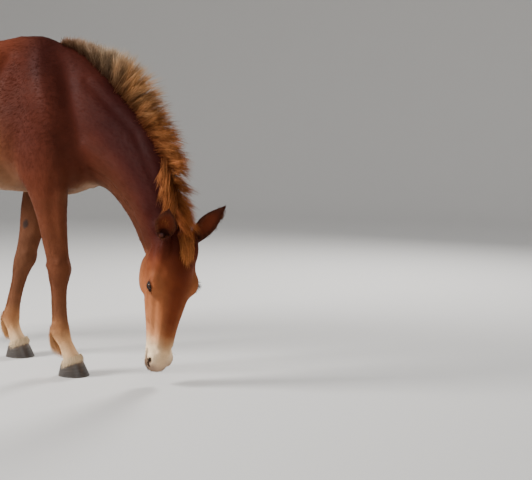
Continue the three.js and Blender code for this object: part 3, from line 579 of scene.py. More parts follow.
# Muscle, bone, tendon and vein under the hide. Each is a line over a part, given by the part's own
# key and a turn in degrees (0 the outer side, 90 the top, front or face), with a reach and a lift.
UNDER_HIDE = {
    "torso": [
        ([(0.02, 66), (0.07, 35), (0.13, 5)], 0.030, 0.005),
        ([(-0.10, 55), (-0.15, 15), (-0.13, -20), (-0.08, -45)], 0.030, -0.009),
        ([(-0.04, 15), (-0.06, -15)], 0.060, 0.008),
        ([(0.14, 60), (0.19, 25), (0.215, 0), (0.22, -25)], 0.036, -0.004),
        ([(0.19, -18)], 0.035, 0.006),
        ([(-0.57, 22)], 0.055, -0.014),
        ([(-0.64, -60), (-0.58, -28)], 0.022, 0.007),
        ([(-0.63, 50)], 0.036, 0.012),
        ([(-0.70, 62), (-0.82, 56), (-0.92, 50)], 0.025, -0.004),
        ([(-0.12, 90), (-0.55, 90)], 0.014, -0.003),
        ([(-0.66, 90), (-0.90, 90)], 0.014, -0.006),
        ([(0.05, 90), (-0.12, 90)], 0.030, 0.004),
        *[([(x, 22), (x - 0.03, -5), (x - 0.02, -32)], 0.015, 0.0014)
          for x in np.linspace(-0.20, -0.50, 8)],
    ],
    "neck": [
        ([(2.2, -42), (4, -42), (6, -45), (8, -48)], 0.013, -0.007),
        ([(3, -72), (5, -72), (7, -75)], 0.018, 0.004),
        ([(2.5, -15), (4.5, -12), (7, -5)], 0.028, 0.006),
        ([(2.5, 48), (5, 50), (8, 50)], 0.018, -0.004),
        ([(8.2, 12)], 0.024, 0.006),
        ([(1.6, 35), (1.8, -5), (2.1, -45)], 0.032, -0.003),
        ([(8.6, -20), (8.8, -55)], 0.012, -0.004),
    ],
    "head": [
        ([(0.235, -8), (0.30, -12), (0.345, -14)], 0.008, 0.004),
        ([(0.27, 25), (0.33, 25), (0.40, 20)], 0.014, -0.006),
        ([(0.25, 58), (0.35, 56), (0.43, 52)], 0.010, 0.003),
        ([(0.150, 44), (0.168, 40)], 0.022, -0.006),
        ([(0.180, 30), (0.215, 26)], 0.014, 0.0015),
        ([(0.262, -20), (0.268, -50), (0.258, -80)], 0.014, -0.004),
        ([(0.450, 42), (0.435, 18)], 0.010, -0.005),
        ([(0.474, 6), (0.482, 26), (0.502, 24), (0.524, 6), (0.520, -14), (0.500, -16)], 0.006, 0.0026),
        ([(0.455, -88)], 0.012, -0.006),
        ([(0.13, 90)], 0.040, 0.004),
        ([(0.262, -42), (0.290, -22), (0.325, 2), (0.372, 18)], 0.0036, 0.0022),
        ([(0.300, -16), (0.345, -24), (0.395, -20)], 0.0032, 0.0016),
        ([(0.06, -90), (0.20, -90), (0.28, -90)], 0.028, -0.013),
    ],
    "fore": [
        ([(0.70, 60), (0.60, 55), (0.52, 60)], 0.020, 0.004),
        ([(0.76, 40), (0.64, 24), (0.52, 34)], 0.020, -0.0035),
        ([(0.70, 165), (0.54, 172)], 0.018, -0.003),
        ([(0.765, -75)], 0.030, 0.010),
        ([(0.430, 80), (0.395, 80)], 0.012, 0.003),
        ([(0.440, 20)], 0.014, 0.004),
        ([(0.440, 160)], 0.014, 0.004),
        ([(0.425, -80)], 0.014, 0.007),
        ([(0.37, -30), (0.28, -34), (0.21, -30)], 0.007, -0.0062),
        ([(0.37, 210), (0.28, 214), (0.21, 210)], 0.007, -0.0062),
        ([(0.165, -60)], 0.012, 0.004),
        ([(0.165, -120)], 0.012, 0.004),
        ([(0.165, 85)], 0.015, 0.002),
        ([(0.112, -90)], 0.018, -0.004),
    ],
    "hind": [
        ([(1.08, -35), (0.95, -30), (0.82, -35)], 0.018, -0.008),
        ([(1.05, 5), (0.92, 0)], 0.016, -0.004),
        ([(0.86, 75)], 0.040, 0.010),
        ([(0.76, 20), (0.68, 15)], 0.030, 0.005),
        ([(0.68, -45), (0.62, -48), (0.575, -45)], 0.012, -0.009),
        ([(0.68, -135), (0.62, -132), (0.575, -135)], 0.012, -0.009),
        ([(0.553, -88)], 0.015, 0.006),
        ([(0.500, 10)], 0.016, 0.004),
        ([(0.500, 170)], 0.016, 0.004),
        ([(0.37, -30), (0.28, -34), (0.21, -30)], 0.007, -0.0062),
        ([(0.37, 210), (0.28, 214), (0.21, 210)], 0.007, -0.0062),
        ([(0.170, -60)], 0.012, 0.004),
        ([(0.170, -120)], 0.012, 0.004),
        ([(0.116, -90)], 0.018, -0.004),
    ],
}


def place_on(ovals, table, line, side):
    """The points of a line on a part, on its left (1) or right (-1)."""
    keys, degrees = np.array(line, float).T
    turn = np.radians(degrees if side > 0 else 180 - degrees)
    return oval_points(*ovals(row_at(table, keys)), turn[:, None])[:, 0]


def gap_to_line(points, line):
    """Distance of each point from a line of straight pieces."""
    if len(line) == 1:
        return np.linalg.norm(points - line[0], axis=1)
    gaps = []
    for a, b in zip(line[:-1], line[1:]):
        way = b - a
        share = np.clip((points - a) @ way / (way @ way), 0, 1)
        gaps.append(np.linalg.norm(points - a - share[:, None] * way, axis=1))
    return np.min(gaps, axis=0)


def normals_of(points):
    a, b, c, d = (points[skin_quads[:, k]] for k in range(4))
    face = np.cross(c - a, d - b)
    total = np.zeros_like(points)
    for k in range(3):
        total[:, k] = np.bincount(skin_quads.ravel(), np.repeat(face[:, k], 4), len(points))
    return unit(total)


def lifted(points, line, reach, lift):
    """How far each point rises from a line under the hide."""
    rise = np.zeros(len(points))
    margin = reach * 2.6
    close = np.all((points > line.min(0) - margin) & (points < line.max(0) + margin), axis=1)
    rise[close] = lift * np.exp(-((gap_to_line(points[close], line) / reach) ** 2))
    return rise


PARTS = {
    "torso": (torso_ovals, TORSO, (1, -1), "torso"),
    "neck": (neck_ovals, NECK, (1, -1), "neck"),
    "head": (head_ovals, HEAD, (1, -1), "head"),
    **{name: (leg["ovals"], leg["table"], (leg["side"],), name[:4]) for name, leg in LEGS.items()},
}
rise = np.zeros(len(skin_points))
for ovals, table, sides, kind in PARTS.values():
    for line, reach, lift in UNDER_HIDE[kind]:
        for side in sides:
            rise += lifted(skin_points, place_on(ovals, table, line, side), reach, lift)
skin_points = skin_points + normals_of(skin_points) * rise[:, None]

# Where each bit of hide belongs: the nearest part, how far along it and how far round it. The
# markings, the lie of the coat and the flattened map of the hide all go by this.
FLAT = {}
EAR_STATIONS = 12
# How quickly one part's hide gives way to the next one's
BLEND = 7


def add_flat(name, middles, sides, reach):
    """A part's middle line with the frame that its map is wound round."""
    along = unit(np.gradient(middles, axis=0))
    ups = unit(np.cross(sides, along))
    steps = np.linalg.norm(np.diff(middles, axis=0), axis=1)
    FLAT[name] = {"middles": middles, "along": along, "sides": np.cross(along, ups), "ups": ups,
                  "reach": reach, "run": np.concatenate([[0], np.cumsum(steps)])}


for name, (ovals, table, _, _) in PARTS.items():
    top, bottom, side, half, *_ = ovals(table)
    deep = np.linalg.norm(top - bottom, axis=1) / 2
    add_flat(name, (top + bottom) / 2, side, (half + deep) / 2)
for name, ear in EARS.items():
    shares = np.linspace(0.08, 1, EAR_STATIONS)[:, None]
    axes = ear_axes(ear)
    middles = from_head(shares * EAR_LENGTH * axes[0] + np.array(ear["root"]) - 0.008 * axes[2])
    sides = np.tile(axes[1] @ HEAD_AXES, (EAR_STATIONS, 1))
    reach = row_at(EAR, shares[:, 0])[:, 1] * 0.75
    add_flat("ear_" + name, middles, sides, np.maximum(reach, 0.010))
FLAT_NAMES = list(FLAT)


def belonging(points):
    """How near each point is to each part, in the part's own thicknesses, and the nearest station."""
    nearness, station = [], []
    for part in FLAT.values():
        gap = np.sqrt(np.maximum(
            (points**2).sum(1)[:, None] + (part["middles"] ** 2).sum(1)
            - 2 * points @ part["middles"].T, 0)) / part["reach"]
        station.append(gap.argmin(1))
        nearness.append(gap.min(1))
    nearness = np.stack(nearness, 1)
    share = np.exp(-BLEND * (nearness - nearness.min(1, keepdims=True)))
    return share / share.sum(1, keepdims=True), np.stack(station, 1)


def wound(points, name, station):
    """Run along a part in metres and turn round it, for points at stations of its middle line."""
    part = FLAT[name]
    arm = points - part["middles"][station]
    turn = np.arctan2((arm * part["ups"][station]).sum(1), (arm * part["sides"][station]).sum(1))
    return part["run"][station] + (arm * part["along"][station]).sum(1), turn


skin_share, skin_station = belonging(skin_points)

# The openings in the hide: the almond between the lids, the comma of each nostril and the line
# between the lips. The hide is let in there, as far as the eyeball or the lining.
EYE_OPENING = {"length": 0.034, "height": 0.015, "slant": math.radians(18), "power": 1.45}
# How far from the ball's centre the lids reach, and how far in the hide goes between them
EYE_REACH, EYE_SUNK = 0.05, 0.25
# Place and radii of the two hollows of a nostril, and how far aside and ahead of the face it opens
NOSTRILS = [
    ((0.500, 0.044, -0.008), (0.018, 0.013, 0.0075)),
    ((0.487, 0.040, 0.002), (0.012, 0.012, 0.0070)),
]
NOSTRIL_ASIDE, NOSTRIL_AHEAD = 0.9, 0.3
LIPS = {"corner": 0.452, "level": -0.034, "rise": 0.012, "gap": 0.0032, "depth": 0.007, "fade": 0.008}


def eye_axes(side):
    """Rows: along the lids towards the muzzle, up across them, and out of the eye."""
    look = unit(np.array(mirrored(EYE_LOOK, side)))
    along = unit(np.array((1.0, 0, 0)) - look * look[0])
    up = np.cross(along, look) * side
    slant = EYE_OPENING["slant"]
    return np.stack([
        math.cos(slant) * along + math.sin(slant) * up,
        -math.sin(slant) * along + math.cos(slant) * up,
        look,
    ]) @ HEAD_AXES


def eye_centre(side):
    return from_head(mirrored(EYE_PLACE, side))


def almond(across, up):
    """Below 1 inside the opening between the lids."""
    power = EYE_OPENING["power"]
    return (np.abs(across) / (EYE_OPENING["length"] / 2)) ** power + (
        np.abs(up) / (EYE_OPENING["height"] / 2)) ** power


def carved(points, normals, centre, radii, axes):
    """Points inside an egg are let in along their normals to its far side."""
    local = (points - centre) @ axes.T / radii
    way = -normals @ axes.T / radii
    inside = (local**2).sum(1) < 1
    a = (way[inside] ** 2).sum(1)
    b = (way[inside] * local[inside]).sum(1)
    c = (local[inside] ** 2).sum(1) - 1
    deep = (-b + np.sqrt(b * b - a * c)) / a
    points = points.copy()
    points[inside] -= normals[inside] * deep[:, None]
    return points


for side in (1, -1):
    way_out = HEAD_AXES[1] * side * NOSTRIL_ASIDE + HEAD_AXES[2] * NOSTRIL_AHEAD
    for place, radii in NOSTRILS:
        centre = from_head(mirrored(place, side))
        skin_points = carved(skin_points, np.tile(way_out, (len(skin_points), 1)), centre, radii, HEAD_AXES)
    axes, centre = eye_axes(side), eye_centre(side)
    local = (skin_points - centre) @ axes.T
    open_eye = (almond(local[:, 0], local[:, 1]) < 1) & (local[:, 2] > 0) & (local[:, 2] < EYE_REACH)
    skin_points[open_eye] = centre + local[open_eye] * [[1, 1, EYE_SUNK]] @ axes
normals = normals_of(skin_points)
in_head = to_head(skin_points)
past_corner = in_head[:, 0] - LIPS["corner"]
lip_level = LIPS["level"] + past_corner * LIPS["rise"] / (HEAD_LENGTH - LIPS["corner"])
lip_gap = np.abs(in_head[:, 2] - lip_level) / LIPS["gap"]
lip_line = np.exp(-(lip_gap**2)) * (skin_share[:, FLAT_NAMES.index("head")] > 0.5)
lip_line *= np.clip(past_corner / LIPS["fade"], 0, 1)
skin_points = skin_points - normals * (LIPS["depth"] * lip_line)[:, None]

# The coat's colours, as paints in the eye's own scale of 0 to 255: chestnut, darker over the crest and down
# the middle of the back, tan below and on the legs, cream round the muzzle. Light and shade are painted into
# them as well: a lighter topline and some sheen on the belly, painted shade over the shoulder, the withers,
# the poll and the roots of the ears, and a face painted lit on its sides and in shade on its front. Skin and
# hair both take them.
COAT_DEPTH = {"torso": 0.0035, "neck": 0.0040, "head": 0.0015, "fore": 0.0020, "hind": 0.0020,
              "ear_": 0.0005}
# Share of the height from belly to back, then red, green and blue. The top band is painted lighter, as
# painted light along the topline, and the pale tan of the belly is partly the coat's own colour and partly
# painted sheen.
BARREL_PAINTS = [
    (0.00, 150, 116, 88), (0.10, 128, 92, 66), (0.24, 104, 61, 39), (0.50, 78, 36, 22),
    (0.80, 82, 35, 21), (1.00, 104, 50, 32)]
# From the throat (-1) to the crest (1)
NECK_PAINTS = [
    (-1.0, 78, 43, 28), (-0.75, 76, 38, 25), (-0.3, 70, 30, 20), (0.2, 56, 18, 12), (1.0, 46, 13, 9)]
# Distance from the poll, on the side of the face, painted as lit, and on its front, painted in shade. Both
# are darkest at the poll, as painted shade between the ears.
LIT_SIDE_PAINTS = [
    (0.02, 66, 25, 15), (0.10, 98, 45, 25), (0.20, 148, 84, 49), (0.33, 176, 112, 72),
    (0.385, 192, 130, 88), (0.415, 216, 168, 124), (0.445, 246, 214, 172), (0.475, 250, 220, 180),
    (0.500, 212, 180, 148), (0.520, 150, 124, 104), (0.545, 118, 98, 84)]
SHADED_FRONT_PAINTS = [
    (0.02, 56, 20, 12), (0.10, 80, 32, 17), (0.20, 92, 40, 20), (0.33, 106, 50, 26),
    (0.395, 124, 68, 38), (0.430, 164, 116, 78), (0.465, 212, 174, 132), (0.490, 210, 176, 138),
    (0.510, 176, 146, 120), (0.545, 118, 98, 84)]
# How far the hide turns from the side of the face towards its front, in degrees, where the painted shade of
# the front comes in
SHADED_FRONT_FROM, SHADED_FRONT_BY = 22, 84
# Height above the floor
LEG_PAINTS = [
    (0.045, 230, 206, 170), (0.085, 218, 178, 134), (0.130, 196, 146, 101), (0.180, 146, 98, 64),
    (0.240, 112, 70, 47), (0.330, 100, 58, 38), (0.430, 100, 57, 37), (0.600, 98, 53, 34),
    (0.740, 90, 44, 28), (0.900, 78, 34, 22)]
EAR_PAINT = (94, 42, 24)
# Marks over those, some of them painted shade: the paint, how strong it is, and the spans over which it comes
# and goes
MARKS = {
    # Painted shade over the shoulder and the withers
    "shoulder": {"paint": (76, 34, 23), "strength": 0.85, "x": (-0.16, 0.04), "height": (-0.06, 0.10)},
    "withers": {"paint": (44, 14, 10), "strength": 0.85, "x": (-0.12, 0.06), "height": (0.62, 0.86)},
    "back stripe": {"paint": (52, 22, 16), "strength": 0.55, "width": 0.020, "height": (0.9, 0.97)},
    "neck root": {"paint": (74, 32, 22), "strength": 0.8, "x": (0.20, 0.36)},
    "jaw": {"paint": (150, 100, 68), "strength": 0.45, "below": (0.055, 0.110), "down": (0.0, 0.2)},
    "eye ring": {"paint": (150, 92, 58), "strength": 0.40, "radius": 0.040, "width": 0.010},
    "lids": {"paint": (52, 30, 24), "strength": 0.9, "reach": (0.020, 0.031)},
    "nostril": {"paint": (62, 44, 40), "strength": 0.9, "reach": (0.9, 1.5)},
    "lips": {"paint": (96, 76, 68), "strength": 0.65, "reach": (0.004, 0.013), "down": (0.448, 0.462)},
    "inner leg": {"paint": (98, 66, 46), "strength": 0.55, "above": (0.16, 0.28), "below": (0.70, 0.85)},
    "callus": {"paint": (52, 44, 42), "strength": 0.85, "reach": (0.75, 1.15)},
    "ear cup": {"paint": (62, 30, 22), "strength": 1, "reach": (-0.012, 0.000)},
    "ear tip": {"paint": (56, 26, 18), "strength": 0.7, "share": (0.80, 1)},
    # Painted shade round the roots of the ears
    "ear root": {"paint": (36, 15, 11), "strength": 0.85, "reach": (0.020, 0.034)},
    # A thin pale line painted on the right of the withers
    "pale streak": {"paint": (176, 150, 140), "strength": 0.7, "reach": (0.6, 1.1)},
}
# The bare patch inside each leg: height, how far behind the leg's line, and its size up and across
CALLUS = {"fore": (0.566, -0.012), "hind": (0.470, -0.020)}
CALLUS_HIGH, CALLUS_WIDE = 0.019, 0.015
# A thin pale line painted into the coat on the right of the withers
PALE_STREAK = {"place": (0.092, -0.100, 1.256), "size": (0.028, 0.060, 0.0045)}


def paint(*levels):
    level = np.array(levels) / 255
    return np.where(level <= 0.04045, level / 12.92, ((level + 0.055) / 1.055) ** 2.4)


def step(value, low, high):
    """0 below low, 1 above high, and smooth between."""
    t = np.clip((value - low) / (high - low), 0, 1)
    return t * t * (3 - 2 * t)


def bands(value, stops):
    """A colour that runs through paints at given values."""
    keys = [key for key, *_ in stops]
    paints = paint(*[levels for _, *levels in stops])
    return np.stack([np.interp(value, keys, channel) for channel in paints.T], 1)


def mixed(base, colour, share):
    return base + (colour - base) * np.asarray(share)[..., None]


def marked(base, name, share):
    """A colour with one of the marks over it."""
    return mixed(base, paint(*MARKS[name]["paint"]), MARKS[name]["strength"] * share)


def waves(points, size, seed):
    """A slow, seeded unevenness between -1 and 1, about as coarse as size."""
    draw = np.random.default_rng(seed)
    total = np.zeros(len(points))
    for _ in range(7):
        way = draw.normal(size=3)
        way *= draw.uniform(0.6, 1.6) * 2 * math.pi / size / np.linalg.norm(way)
        total += np.sin(points @ way + draw.uniform(0, 2 * math.pi))
    return total / 3.5


def barrel_colour(points):
    x, y, z = points.T
    top, bottom = row_at(TORSO, x)[:, 1:3].T
    height = (z - bottom) / (top - bottom) + 0.03 * waves(points, 0.30, 3)
    colour = bands(height, BARREL_PAINTS)
    # Painted shade over the shoulder and the withers
    for name in ("shoulder", "withers"):
        mark = MARKS[name]
        colour = marked(colour, name, step(x, *mark["x"]) * step(height, *mark["height"]))
    stripe = MARKS["back stripe"]
    middle = np.exp(-((y / stripe["width"]) ** 2))
    return marked(colour, "back stripe", middle * step(height, *stripe["height"]))


def neck_colour(points, station):
    _, turn = wound(points, "neck", station)
    colour = bands(-np.sin(turn), NECK_PAINTS)
    return marked(colour, "neck root", 1 - step(points[:, 0], *MARKS["neck root"]["x"]))


def head_colour(points):
    h = to_head(points)
    down = h[:, 0] + 0.010 * waves(points, 0.07, 5)
    facing = np.degrees(np.arctan2(h[:, 2] + 0.02, np.abs(h[:, 1])))
    # The lit paints of the sides give way to the shaded paints of the front as the hide turns to face
    # forward.
    colour = mixed(bands(down, LIT_SIDE_PAINTS), bands(down, SHADED_FRONT_PAINTS), step(facing, SHADED_FRONT_FROM, SHADED_FRONT_BY))
    jaw, ring = MARKS["jaw"], MARKS["eye ring"]
    colour = marked(colour, "jaw", step(-h[:, 2], *jaw["below"]) * step(h[:, 0], *jaw["down"]))
    for side in (1, -1):
        gap = np.linalg.norm((h - mirrored(EYE_PLACE, side)) * (0.9, 1, 1.15), axis=1)
        colour = marked(colour, "eye ring", np.exp(-(((gap - ring["radius"]) / ring["width"]) ** 2)))
        colour = marked(colour, "lids", 1 - step(gap, *MARKS["lids"]["reach"]))
        for place, radii in NOSTRILS:
            gap = np.linalg.norm((h - mirrored(place, side)) / radii, axis=1)
            colour = marked(colour, "nostril", 1 - step(gap, *MARKS["nostril"]["reach"]))
    lips = MARKS["lips"]
    line = np.abs(h[:, 2] - LIPS["level"] - 0.006)
    return marked(colour, "lips", (1 - step(line, *lips["reach"])) * step(h[:, 0], *lips["down"]))


def leg_colour(points, leg, callus):
    x, y, z = points.T
    inner = step(-(y - leg["side"] * 0.106) * leg["side"], -0.01, 0.045)
    colour = bands(z + 0.012 * waves(points, 0.09, 8), LEG_PAINTS)
    tan = MARKS["inner leg"]
    colour = marked(colour, "inner leg", inner * step(z, *tan["above"]) * (1 - step(z, *tan["below"])))
    height, back = callus
    behind = x - row_at(leg["path"], z)[:, 1] - back
    gap = np.sqrt(((z - height) / CALLUS_HIGH) ** 2 + (behind / CALLUS_WIDE) ** 2)
    return marked(colour, "callus", (1 - step(gap, *MARKS["callus"]["reach"])) * (inner > 0.3))


def ear_colour(points, ear):
    axes = ear_axes(ear) @ HEAD_AXES
    arm = points - from_head(ear["root"])
    colour = np.tile(paint(*EAR_PAINT), (len(points), 1))
    colour = marked(colour, "ear cup", step(arm @ axes[2], *MARKS["ear cup"]["reach"]))
    low, high = MARKS["ear tip"]["share"]
    return marked(colour, "ear tip", step(arm @ axes[0], EAR_LENGTH * low, EAR_LENGTH * high))


def coat_colour(points, share, station):
    """The coat's colour at points of the hide: each part's own, blended, then what lies over them."""
    colours = []
    for number, name in enumerate(FLAT_NAMES):
        if name == "torso":
            colours.append(barrel_colour(points))
        elif name == "neck":
            colours.append(neck_colour(points, station[:, number]))
        elif name == "head":
            colours.append(head_colour(points))
        elif name in LEGS:
            colours.append(leg_colour(points, LEGS[name], CALLUS[name[:4]]))
        else:
            colours.append(ear_colour(points, EARS[name[4:]]))
    mix = np.einsum("np,pnc->nc", share, np.array(colours))
    # Painted shade round the root of each ear
    for ear in EARS.values():
        axes = ear_axes(ear) @ HEAD_AXES
        gap = np.linalg.norm(points - from_head(ear["root"]) - axes[0] * 0.006 + axes[2] * 0.010, axis=1)
        mix = marked(mix, "ear root", 1 - step(gap, *MARKS["ear root"]["reach"]))
    # A thin pale line painted on the right of the withers
    gap = np.linalg.norm((points - PALE_STREAK["place"]) / PALE_STREAK["size"], axis=1)
    mix = marked(mix, "pale streak", 1 - step(gap, *MARKS["pale streak"]["reach"]))
    return mix * (1 + 0.07 * waves(points, 0.11, 1) + 0.05 * waves(points, 0.035, 2))[:, None]


def by_part(values):
    """A value for each part of the hide, from its name or from the start of it."""
    return np.array([values.get(name, values.get(name[:4])) for name in FLAT_NAMES])


skin_colour = coat_colour(skin_points, skin_share, skin_station)
skin_normals = normals_of(skin_points)
inset = skin_points - skin_normals * (skin_share @ by_part(COAT_DEPTH))[:, None]

# The hide's own flattened map, OFBake. Each part is unwound into a strip of the square, as a hide
# is laid out flat: across by the turn round the part, up by the run along it.
STRIPS = {}
# Left, low, width and height of each strip
STRIP_ROOM = {"torso": (0.00, 0.00, 0.62, 0.46), "neck": (0.00, 0.47, 0.40, 0.27),
              "head": (0.63, 0.00, 0.36, 0.46), "fore_right": (0.00, 0.75, 0.24, 0.24),
              "fore_left": (0.25, 0.75, 0.24, 0.24), "hind_right": (0.50, 0.75, 0.24, 0.24),
              "hind_left": (0.75, 0.75, 0.24, 0.24), "ear_left": (0.41, 0.47, 0.14, 0.27),
              "ear_right": (0.56, 0.47, 0.14, 0.27)}


def on_map(name, run, turn):
    left, low, width, height = STRIP_ROOM[name]
    run_low, run_high = STRIPS[name]
    across = np.clip(0.5 + turn / (2 * math.pi) * 0.94, 0.005, 0.995)
    up = np.clip((run - run_low) / (run_high - run_low), 0, 1)
    return np.stack([left + width * across, low + height * (0.01 + 0.98 * up)], -1)


nearest = skin_share.argmax(1)
skin_uv = np.zeros((len(skin_points), 2))
for number, name in enumerate(FLAT_NAMES):
    mine = nearest == number
    run, turn = wound(skin_points[mine], name, skin_station[mine, number])
    STRIPS[name] = (run.min() - 0.01, run.max() + 0.01)
    skin_uv[mine] = on_map(name, run, turn)
corner_uv = np.zeros((len(skin_quads), 4, 2))
face_part = nearest[skin_quads[:, 0]]
for number, name in enumerate(FLAT_NAMES):
    mine = face_part == number
    corners = skin_quads[mine].ravel()
    run, turn = wound(skin_points[corners], name, skin_station[corners, number])
    turn = turn.reshape(-1, 4)
    turn = turn[:, :1] + (turn - turn[:, :1] + math.pi) % (2 * math.pi) - math.pi
    corner_uv[mine] = on_map(name, run.reshape(-1, 4), turn)

# The hide itself: thin skin, one sheet from the lips to the dock, with a fine uneven grain. The
# mule's own frame is set over the solids by its right fore hoof.
HOOF_SOLE = (0.178, -0.104)
# The noise that breaks the colour up between two strengths and lifts the surface a little
HIDE_GRAIN = {"scale": 420, "detail": 3, "low": 0.86, "high": 1.12, "bump": 0.35}
hoof_low, hoof_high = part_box("hoof_fore_right")
to_frame = np.array([
    (hoof_low.x + hoof_high.x) / 2 - HOOF_SOLE[0],
    (hoof_low.y + hoof_high.y) / 2 - HOOF_SOLE[1],
    0,
])


def material_of(name, roughness, grain=None, **sockets):
    """A material that takes the mesh's own coat colour, with or without a grain."""
    material = bpy.data.materials.new(name)
    material.use_nodes = True
    nodes, links = material.node_tree.nodes, material.node_tree.links
    shader = nodes["Principled BSDF"]
    shader.inputs["Roughness"].default_value = roughness
    for socket, value in sockets.items():
        shader.inputs[socket.replace("_", " ")].default_value = value
    coat = nodes.new("ShaderNodeAttribute")
    coat.attribute_name = "coat"
    if grain is None:
        links.new(coat.outputs["Color"], shader.inputs["Base Color"])
        return material
    noise = nodes.new("ShaderNodeTexNoise")
    noise.inputs["Scale"].default_value = grain["scale"]
    noise.inputs["Detail"].default_value = grain["detail"]
    place = nodes.new("ShaderNodeTexCoord")
    links.new(place.outputs["Object"], noise.inputs["Vector"])
    strength = nodes.new("ShaderNodeMapRange")
    strength.inputs["From Min"].default_value = 0.3
    strength.inputs["From Max"].default_value = 0.7
    strength.inputs["To Min"].default_value = grain["low"]
    strength.inputs["To Max"].default_value = grain["high"]
    links.new(noise.outputs["Fac"], strength.inputs["Value"])
    tone = nodes.new("ShaderNodeVectorMath")
    tone.operation = "SCALE"
    links.new(coat.outputs["Color"], tone.inputs[0])
    links.new(strength.outputs["Result"], tone.inputs["Scale"])
    links.new(tone.outputs["Vector"], shader.inputs["Base Color"])
    bump = nodes.new("ShaderNodeBump")
    bump.inputs["Strength"].default_value = grain["bump"]
    bump.inputs["Distance"].default_value = 0.001
    links.new(noise.outputs["Fac"], bump.inputs["Height"])
    links.new(bump.outputs["Normal"], shader.inputs["Normal"])
    return material


def new_piece(mesh, material, slot, colours, *replaced):
    """Gives a mesh its colours and finish and puts it into the scene on the mule's body."""
    layer = mesh.color_attributes.new("coat", "FLOAT_COLOR", "POINT")
    rgba = np.ones((len(mesh.vertices), 4), np.float32)
    rgba[:, :3] = np.clip(colours, 0, 1)
    layer.data.foreach_set("color", rgba.ravel())
    mesh.materials.append(material)
    piece = bpy.data.objects.new(mesh.name, mesh)
    bpy.context.scene.collection.objects.link(piece)
    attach(piece, "root")
    if replaced:
        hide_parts(*replaced)
    return piece


mesh = mesh_of("skin", inset + to_frame, skin_quads)
mesh.uv_layers.new(name="OFBake").data.foreach_set("uv", corner_uv.astype(np.float32).ravel())
hide = material_of("hide", 0.55, HIDE_GRAIN, Specular_IOR_Level=0.05)
new_piece(mesh, hide, "coat", skin_colour, "torso", "neck", "head", "ear_left", "ear_right",
          "foreleg_right", "foreleg_left", "hindleg_right", "hindleg_left")

# The short coat. Small pointed tufts lie along the body with the lie of real hair: down the legs,
# back over the barrel, away from the eyes on the face. They stand least on the face and feet.
TUFT_LENGTH = {"torso": 0.017, "neck": 0.017, "head": 0.008, "fore": 0.012, "hind": 0.013, "ear_": 0.009}
TUFT_HALF = {"torso": 0.00075, "neck": 0.00075, "head": 0.00050, "fore": 0.00065, "hind": 0.00070,
             "ear_": 0.00050}
TUFT_LIFT = {"torso": 0.12, "neck": 0.13, "head": 0.11, "fore": 0.13, "hind": 0.13, "ear_": 0.20}
# Tufts on each square metre
TUFT_COUNT = {"torso": 19000, "neck": 19000, "head": 60000, "fore": 32000, "hind": 27000, "ear_": 56000}
COAT_PIECES = 5
# No tufts grow round the eyes, in the nostrils or under the hair of the coronets
BARE_LIDS, BARE_NOSTRIL, BARE_FOOT = 1.5, 1.6, 0.036
# How deep a tuft is rooted, and how far to either side of the coat's lie it may point
TUFT_SUNK, TUFT_STRAY = 0.0004, 0.09
# Size of a blade's patch on the flattened map
PATCH = 0.003
hair = material_of("hair", 0.60, Specular_IOR_Level=0.03)


def blades(name, paths, half_width, across, root_colour, tip_colour, uv, slot, *replaced,
           flat=0.45, wander=0.10, seed=1, facing=None):
    """Tapered three-sided blades of hair along paths, joined as one mesh. Hair that lies flat takes
    the light as the hide under it does, which faces the way given."""
    draw = np.random.default_rng(seed)
    count, steps = paths.shape[:2]
    along = unit(np.gradient(paths, axis=1))
    across = np.broadcast_to(across, (count, 3))[:, None]
    across = unit(across - along * (across * along).sum(2, keepdims=True))
    up = np.cross(along, across)
    rings = steps - 1
    wide = half_width[:, :rings, None, None]
    corners = np.array([(1, 0), (-1, 0), (0, 1)])
    around = across[:, :rings, None] * corners[:, :1] + up[:, :rings, None] * corners[:, 1:] * flat
    ring_points = paths[:, :rings, None] + around * wide
    points = np.concatenate([ring_points.reshape(count, -1, 3), paths[:, -1:]], 1)
    each = rings * 3 + 1
    quads, quad_uv, tips, tip_uv = [], [], [], []
    for ring in range(rings):
        v0, v1 = ring / rings - 0.5, (ring + 1) / rings - 0.5
        for side in range(3):
            a, b = ring * 3 + side, ring * 3 + (side + 1) % 3
            u0, u1 = side / 3 - 0.5, (side + 1) / 3 - 0.5
            if ring < rings - 1:
                quads.append((b, a, a + 3, b + 3))
                quad_uv.append(((u1, v0), (u0, v0), (u0, v1), (u1, v1)))
            else:
                tips.append((b, a, each - 1))
                tip_uv.append(((u1, v0), (u0, v0), ((u0 + u1) / 2, v1)))
    start = (np.arange(count) * each)[:, None, None]
    quad_loops = (np.array(quads)[None] + start).ravel()
    tip_loops = (np.array(tips)[None] + start).ravel()
    starts = np.concatenate([np.arange(len(quad_loops) // 4) * 4,
                             len(quad_loops) + np.arange(len(tip_loops) // 3) * 3])
    loops = np.concatenate([quad_loops, tip_loops])
    mesh = plain_mesh(name, points.reshape(-1, 3) + to_frame, loops, starts)
    patches = [(uv[:, None, None] + np.array(shape)[None] * PATCH).reshape(-1, 2)
               for shape in (quad_uv, tip_uv)]
    mesh.uv_layers.new(name="OFBake").data.foreach_set(
        "uv", np.clip(np.vstack(patches), 0.0005, 0.9995).astype(np.float32).ravel())
    if facing is not None:
        lean = np.append(np.tile((0.5, -0.5, 0), rings), 0)[None, :, None]
        lit = unit(facing[:, None] + across[:, :1] * lean)
        mesh.attributes.new("custom_normal", "FLOAT_VECTOR", "POINT").data.foreach_set(
            "vector", lit.astype(np.float32).ravel())
    tone = 1 + wander * draw.normal(size=(count, 1, 1))
    share = np.append(np.repeat(np.arange(rings) / rings, 3), 1)[None, :, None]
    root_colour, tip_colour = (np.broadcast_to(c, (count, 3))[:, None] for c in (root_colour, tip_colour))
    colours = (root_colour * (1 - share) + tip_colour * share) * tone
    new_piece(mesh, hair, slot, colours.reshape(-1, 3), *replaced)


